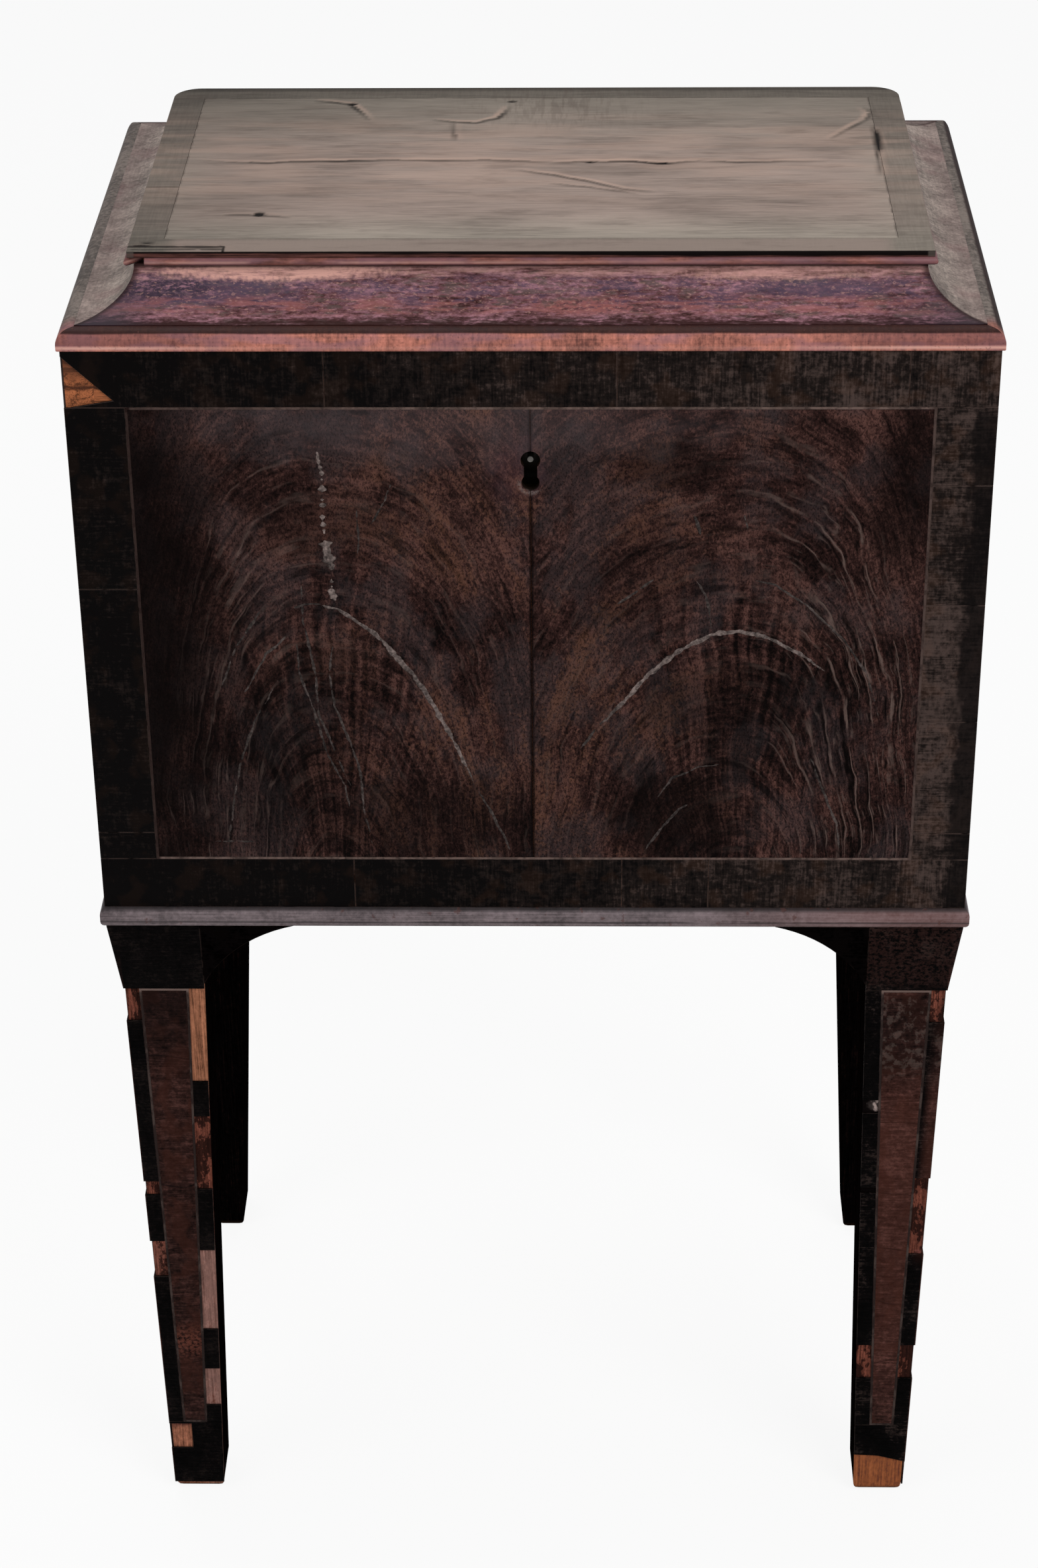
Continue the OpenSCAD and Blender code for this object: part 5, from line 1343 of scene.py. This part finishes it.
def top_field_mesh(sizes):
    """A thin closed sheet for the lid's top veneer, with a fine grid of points on its upper side"""
    across = np.linspace(-FIELD_X, FIELD_X, int(2 * FIELD_X * MM / sizes.top_grid) // 3 * 2)
    deep = np.linspace(-FIELD_Y, FIELD_Y, int(2 * FIELD_Y * MM / sizes.top_grid))
    shape = bmesh.new()
    rows = [[shape.verts.new((x * MM, y * MM, TOP_Z * MM)) for x in across] for y in deep]
    for low, high in zip(rows, rows[1:]):
        for i in range(len(across) - 1):
            shape.faces.new((low[i], low[i + 1], high[i + 1], high[i]))
    rim = rows[0] + [row[-1] for row in rows[1:]] + rows[-1][-2::-1] + [row[0] for row in rows[-2:0:-1]]
    below = [shape.verts.new((v.co.x, v.co.y, BOARD_TOP * MM)) for v in rim]
    for i in range(len(rim)):
        j = (i + 1) % len(rim)
        shape.faces.new((rim[j], rim[i], below[i], below[j]))
    shape.faces.new(below[::-1])
    bmesh.ops.recalc_face_normals(shape, faces=shape.faces)
    return plain_mesh(shape, "worn_lid_top_field")


def settings(context):
    """The scene's colours and sizes"""
    return context.scene.cellarette_colours, context.scene.cellarette_sizes


class CELLARETTE_OT_front_veneers(bpy.types.Operator):
    """Veneer the front: two figured leaves, crossbanding and stringing"""

    bl_idname = "cellarette.front_veneers"
    bl_label = "Front Veneers"

    def execute(self, context):
        tint, sizes = settings(context)
        worn(figured_veneer(tint, LEFT), sizes.veneer_arris, "front_field_left")
        worn(figured_veneer(tint, RIGHT), sizes.veneer_arris, "front_field_right")
        worn(front_crossband(tint, Z_AXIS, "crossband_upright_grain"), sizes.veneer_arris,
             "front_band_top", "front_band_bottom")
        worn(front_crossband(tint, X_AXIS, "crossband_level_grain"), sizes.veneer_arris,
             "front_band_left", "front_band_right")
        worn(inlaid_line(tint), 0, "front_stringing")
        return {"FINISHED"}


class CELLARETTE_OT_cracks(bpy.types.Operator):
    """Fill the cracks of the front with strands of pale dust and glue"""

    bl_idname = "cellarette.cracks"
    bl_label = "Cracks"

    def execute(self, context):
        tint, sizes = settings(context)
        depth = (FRONT_Y + CRACK_SUNK) * MM
        for seed, (name, cracks, share, gaps, paleness) in enumerate(CRACK_GROUPS):
            material = crack_filler(tint, name + "_filler", paleness)
            paths = [[(x * MM, depth, (JOINT_Z + z) * MM) for x, z in crack] for crack in cracks]
            mesh = crack_tree(material).grow(
                line_host(name, paths),
                {"Width": sizes.crack_width * share, "Spacing": CRACK_SPACING * MM, "Gaps": gaps,
                 "Face": depth, "Flatness": CRACK_FLATNESS, "Seed": float(seed)})
            mesh.materials.clear()
            mesh.materials.append(material)
            strand = put_in_scene(name, mesh)
            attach(strand, "case")
        return {"FINISHED"}


class CELLARETTE_OT_case(bpy.types.Operator):
    """Finish the case: its boards, side veneers, bottom and bottle partitions"""

    bl_idname = "cellarette.case"
    bl_label = "Case"

    def execute(self, context):
        tint, sizes = settings(context)
        worn(case_board(tint, "case_board_front", X_AXIS, 1), 0, "case_front_board")
        worn(case_board(tint, "case_board_side", Y_AXIS, 7), 0, "case_left_board", "case_right_board")
        worn(back_board(tint), 0, "case_back_board")
        worn(side_veneer(tint), sizes.veneer_arris, "left_side_veneer", "right_side_veneer")
        pale = plain_wood("pale_secondary_wood", X_AXIS, tint.pale_wood, tint.pale_wood * 0.25, ring=8)
        worn(pale, sizes.board_arris * 0.6, "case_bottom_board", "platform_board", "glue_blocks")
        dust = tint.partition * 0.4
        worn(plain_wood("partition_long", X_AXIS, tint.partition, dust), sizes.board_arris, "long_divider")
        worn(plain_wood("partition_cross", Y_AXIS, tint.partition, dust, seed=5), sizes.board_arris,
             "cross_dividers")
        return {"FINISHED"}


class CELLARETTE_OT_metalwork(bpy.types.Operator):
    """Finish the lock, its bolt and spring, the hinges and the link plate"""

    bl_idname = "cellarette.metalwork"
    bl_label = "Metalwork"

    def execute(self, context):
        tint, sizes = settings(context)
        worn(old_brass(tint), sizes.metal_arris, "lock_back_plate", "lock_case_walls", "lock_cap",
             "hinge_case_leaves", "hinge_lid_leaves", "link_plate")
        worn(worn_steel(tint, "worn_steel", 1.0), sizes.metal_arris, "lock_bolt", "bolt_spring",
             "hinge_pins")
        worn(worn_steel(tint, "dark_pin_steel", 0.34), sizes.metal_arris, "lock_drill_pin")
        return {"FINISHED"}


class CELLARETTE_OT_screws(bpy.types.Operator):
    """Put slotted screws where the frame has its screws, each turned its own way"""

    bl_idname = "cellarette.screws"
    bl_label = "Screws"

    def execute(self, context):
        material = worn_steel(settings(context)[0], "screw_steel", 0.62)
        tree = screw_tree(material)
        for seed, node in enumerate(("case_screws", "lid_screws")):
            host, radius, length_all = self.points_of(node)
            sizes = {name: radius * share for name, share in SCREW_SHARES.items()}
            mesh = tree.grow(host, {"Head radius": radius, **sizes, "Length": length_all, "Seed": seed})
            new_piece("slotted_" + node, mesh, material, [node])
        return {"FINISHED"}

    @staticmethod
    def points_of(node):
        """Points at the heads of a node's screws, with their directions, and a screw's own sizes"""
        shape = joined_shape(node)
        heads = []
        aims = []
        for piece in islands(shape):
            places = np.array([v.co for v in piece])
            spans = places.max(0) - places.min(0)
            axis = int(np.argmax(spans))
            middle = (places.max(0) + places.min(0)) / 2
            from_axis = np.linalg.norm(np.delete(places - middle, axis, 1), axis=1)
            aim = np.zeros(3)
            aim[axis] = math.copysign(1, places[np.argmax(from_axis)][axis] - middle[axis])
            heads.append(tuple(middle + aim * spans[axis] / 2))
            aims.append(aim)
        shape.free()
        mesh = bpy.data.meshes.new(node + "_points")
        mesh.from_pydata(heads, [], [])
        layer = mesh.attributes.new("aim", "FLOAT_VECTOR", "POINT")
        layer.data.foreach_set("vector", np.array(aims, np.float32).ravel())
        return put_in_scene(node + "_points", mesh), float(from_axis.max()), float(spans[axis])


class CELLARETTE_OT_lid_mouldings(bpy.types.Operator):
    """Finish the lid's coved rails, its beads and the nosing under its top"""

    bl_idname = "cellarette.lid_mouldings"
    bl_label = "Lid Mouldings"

    def execute(self, context):
        tint, sizes = settings(context)
        worn(front_cove(tint), 0, "lid_front_rail")
        worn(dusty_cove(tint, Y_AXIS, "dusty_cove_side", 1.0), 0, "lid_left_rail", "lid_right_rail")
        worn(dusty_cove(tint, X_AXIS, "dusty_cove_back", 0.7), 0, "lid_back_rail")
        for part, finish, arris in (("bead", rubbed_bead, 0),
                                    ("nosing", nosing_strip, sizes.board_arris * 0.4)):
            start = "rubbed_bead" if part == "bead" else part
            worn(finish(tint, X_AXIS, start + "_across", 1.0), arris, "lid_front_" + part,
                 "lid_back_" + part)
            worn(finish(tint, Y_AXIS, start + "_deep", 0.8), arris, "lid_left_" + part,
                 "lid_right_" + part)
        return {"FINISHED"}


class CELLARETTE_OT_lid_top(bpy.types.Operator):
    """Lay the lid's top: its board, and bleached veneer with lifted cracks, a hole and a patch"""

    bl_idname = "cellarette.lid_top"
    bl_label = "Lid Top"

    def execute(self, context):
        tint, sizes = settings(context)
        worn(board_edge(tint), sizes.board_arris * 0.5, "lid_top_board")
        field = top_field_mesh(sizes)
        shape_top(field, sizes)
        new_piece("worn_lid_top_field", field, bleached_top(tint, False), ["lid_top_field"], RELIEF_TURN)

        shape = joined_shape("lid_top_bands")
        give_tones(shape, "lid_top_bands")
        bmesh.ops.triangulate(shape, faces=shape.faces)
        cut_to_grid(shape, 4 * sizes.top_grid)
        bands = plain_mesh(shape, "worn_lid_top_bands")
        shape_top(bands, sizes)
        new_piece("worn_lid_top_bands", bands, bleached_top(tint, True), ["lid_top_bands"])
        return {"FINISHED"}


class CELLARETTE_OT_waist(bpy.types.Operator):
    """Finish the waist moulding between the case and the legs"""

    bl_idname = "cellarette.waist"
    bl_label = "Waist Moulding"

    def execute(self, context):
        tint = settings(context)[0]
        worn(waist_polish(tint, X_AXIS, "waist_polish_across"), 0, "waist_moulding_front",
             "waist_moulding_back")
        worn(waist_polish(tint, Y_AXIS, "waist_polish_deep"), 0, "waist_moulding_left",
             "waist_moulding_right")
        return {"FINISHED"}


class CELLARETTE_OT_legs(bpy.types.Operator):
    """Finish the legs, their worn veneer and stringing, and the corner brackets"""

    bl_idname = "cellarette.legs"
    bl_label = "Legs"

    def execute(self, context):
        tint, sizes = settings(context)
        worn(leg_ground(tint), sizes.board_arris, "front_left_leg", "front_right_leg", "rear_left_leg",
             "rear_right_leg")
        worn(leg_veneer(tint, LEFT, "leg_veneer_left"), sizes.veneer_arris, "front_left_leg_veneer")
        worn(leg_veneer(tint, RIGHT, "leg_veneer_right"), sizes.veneer_arris, "front_right_leg_veneer")
        plain = leg_veneer(tint, REAR, "leg_veneer_plain")
        worn(plain, sizes.veneer_arris, "rear_leg_veneers")
        worn(plain, sizes.board_arris * 0.6, "leg_brackets")
        worn(leg_line(tint), 0, "leg_stringing")
        return {"FINISHED"}


# Camera of the photograph: place in millimetres, and angles in degrees
CAMERA_PLACE = (26.35, -1665.95, 1369.5)
CAMERA_YAW = -1.262
CAMERA_PITCH = 30.265
CAMERA_ROLL = -0.559
CAMERA_LENS = 78.7
SENSOR_WIDTH = 36
# Square lamps: name, place in metres, side in metres and power in watts
LAMPS = [("key_lamp", (1.5, -1.9, 2.5), 1.5, 46), ("fill_lamp", (-1.9, -1.5, 1.7), 1.6, 17),
         ("top_lamp", (-0.2, 0.9, 2.7), 1.4, 20)]
LAMPS_AIM = (0, 0, 0.5)
FLOOR_REACH = 9
FLOOR_WHITE = 0.9


class CELLARETTE_OT_stage(bpy.types.Operator):
    """Set the plain studio: pale floor, soft lamps, white surroundings and the camera"""

    bl_idname = "cellarette.stage"
    bl_label = "Studio"

    def execute(self, context):
        scene = context.scene
        scene.view_settings.view_transform = "Standard"
        self.lay_floor(settings(context)[0])
        self.light_world(scene)
        for name, place, size, power in LAMPS:
            lamp = bpy.data.lights.new(name, "AREA")
            lamp.size = size
            lamp.energy = power
            hung = put_in_scene(name, lamp)
            hung.location = place
            hung.rotation_euler = (Vector(LAMPS_AIM) - Vector(place)).to_track_quat("-Z", "Y").to_euler()
        self.set_camera(scene)
        return {"FINISHED"}

    @staticmethod
    def lay_floor(tint):
        """A wide pale floor that keeps the chest's shadow and looks almost white to the camera"""
        mesh = bpy.data.meshes.new("studio_floor")
        corners = [(x * FLOOR_REACH, y * FLOOR_REACH, 0) for x, y in ((-1, -1), (1, -1), (1, 1), (-1, 1))]
        mesh.from_pydata(corners, [], [(0, 1, 2, 3)])
        look = Look("studio_floor")
        paper = look.node("ShaderNodeBsdfDiffuse", None, {"Color": tint.floor})
        seen = look.node("ShaderNodeLightPath", output="Is Camera Ray") * FLOOR_WHITE
        white = look.node("ShaderNodeEmission", None, {"Color": (1, 1, 1), "Strength": 1.0})
        look.end("ShaderNodeOutputMaterial", look.node("ShaderNodeMixShader", None, [seen, paper, white]))
        mesh.materials.append(look.material)
        floor = put_in_scene("studio_floor", mesh)

    @staticmethod
    def light_world(scene):
        """Soft even light from all round, and white where the camera looks past the floor"""
        scene.world = bpy.data.worlds.new("studio_world")
        scene.world.use_nodes = True
        sky = Nodes(scene.world.node_tree)
        seen = sky.node("ShaderNodeLightPath", output="Is Camera Ray")
        soft = sky.node("ShaderNodeBackground", None, {"Color": (0.92, 0.95, 1.0), "Strength": 0.42})
        white = sky.node("ShaderNodeBackground", None, {"Color": (1.0, 1.0, 1.0)})
        sky.end("ShaderNodeOutputWorld", sky.node("ShaderNodeMixShader", None, [seen, soft, white]))

    @staticmethod
    def set_camera(scene):
        """The photograph's own viewpoint, found from the chest's edges"""
        lens = bpy.data.cameras.new("photo_camera")
        lens.sensor_width = SENSOR_WIDTH
        lens.lens = CAMERA_LENS
        lens.clip_start = 0.05
        lens.clip_end = 60
        camera = put_in_scene("photo_camera", lens)
        camera.location = Vector(CAMERA_PLACE) * MM
        camera.rotation_euler = camera_turn()
        scene.camera = camera


def camera_turn():
    """Euler angles of a camera that looks along +Y, then yaws, tips down and rolls"""
    yaw, pitch, roll = (math.radians(a) for a in (CAMERA_YAW, CAMERA_PITCH, CAMERA_ROLL))
    forward = Vector((math.sin(yaw) * math.cos(pitch), math.cos(yaw) * math.cos(pitch), -math.sin(pitch)))
    right = Vector((math.cos(yaw), -math.sin(yaw), 0))
    up = right.cross(forward)
    rolled_right = right * math.cos(roll) + up * math.sin(roll)
    rolled_up = up * math.cos(roll) - right * math.sin(roll)
    return Matrix((rolled_right, rolled_up, -forward)).transposed().to_euler()


class CELLARETTE_PT_panel(bpy.types.Panel):
    """Lists the steps that dress the cellarette, with its sizes and colours"""

    bl_label = "Cellarette"
    bl_idname = "CELLARETTE_PT_panel"
    bl_space_type = "VIEW_3D"
    bl_region_type = "UI"
    bl_category = "Cellarette"

    def draw(self, context):
        for step in STEPS:
            self.layout.operator(step.bl_idname)
        for group in reversed(settings(context)):
            box = self.layout.box()
            for key in group.__annotations__:
                box.prop(group, key)


STEPS = (
    CELLARETTE_OT_stage,
    CELLARETTE_OT_case,
    CELLARETTE_OT_front_veneers,
    CELLARETTE_OT_cracks,
    CELLARETTE_OT_metalwork,
    CELLARETTE_OT_screws,
    CELLARETTE_OT_lid_mouldings,
    CELLARETTE_OT_lid_top,
    CELLARETTE_OT_waist,
    CELLARETTE_OT_legs,
)
CLASSES = (CellaretteColours, CellaretteSizes, *STEPS, CELLARETTE_PT_panel)


def register():
    """Registers the classes and hangs the settings on the scene"""
    for cls in CLASSES:
        bpy.utils.register_class(cls)
    bpy.types.Scene.cellarette_colours = bpy.props.PointerProperty(type=CellaretteColours)
    bpy.types.Scene.cellarette_sizes = bpy.props.PointerProperty(type=CellaretteSizes)


def unregister():
    """Removes the settings and the classes"""
    del bpy.types.Scene.cellarette_sizes
    del bpy.types.Scene.cellarette_colours
    for cls in reversed(CLASSES):
        bpy.utils.unregister_class(cls)


def main():
    """Dresses the whole chest in order"""
    register()
    bpy.ops.cellarette.stage()
    bpy.ops.cellarette.case()
    bpy.ops.cellarette.front_veneers()
    bpy.ops.cellarette.cracks()
    bpy.ops.cellarette.metalwork()
    bpy.ops.cellarette.screws()
    bpy.ops.cellarette.lid_mouldings()
    bpy.ops.cellarette.lid_top()
    bpy.ops.cellarette.waist()
    bpy.ops.cellarette.legs()


if __name__ == "__main__":
    main()
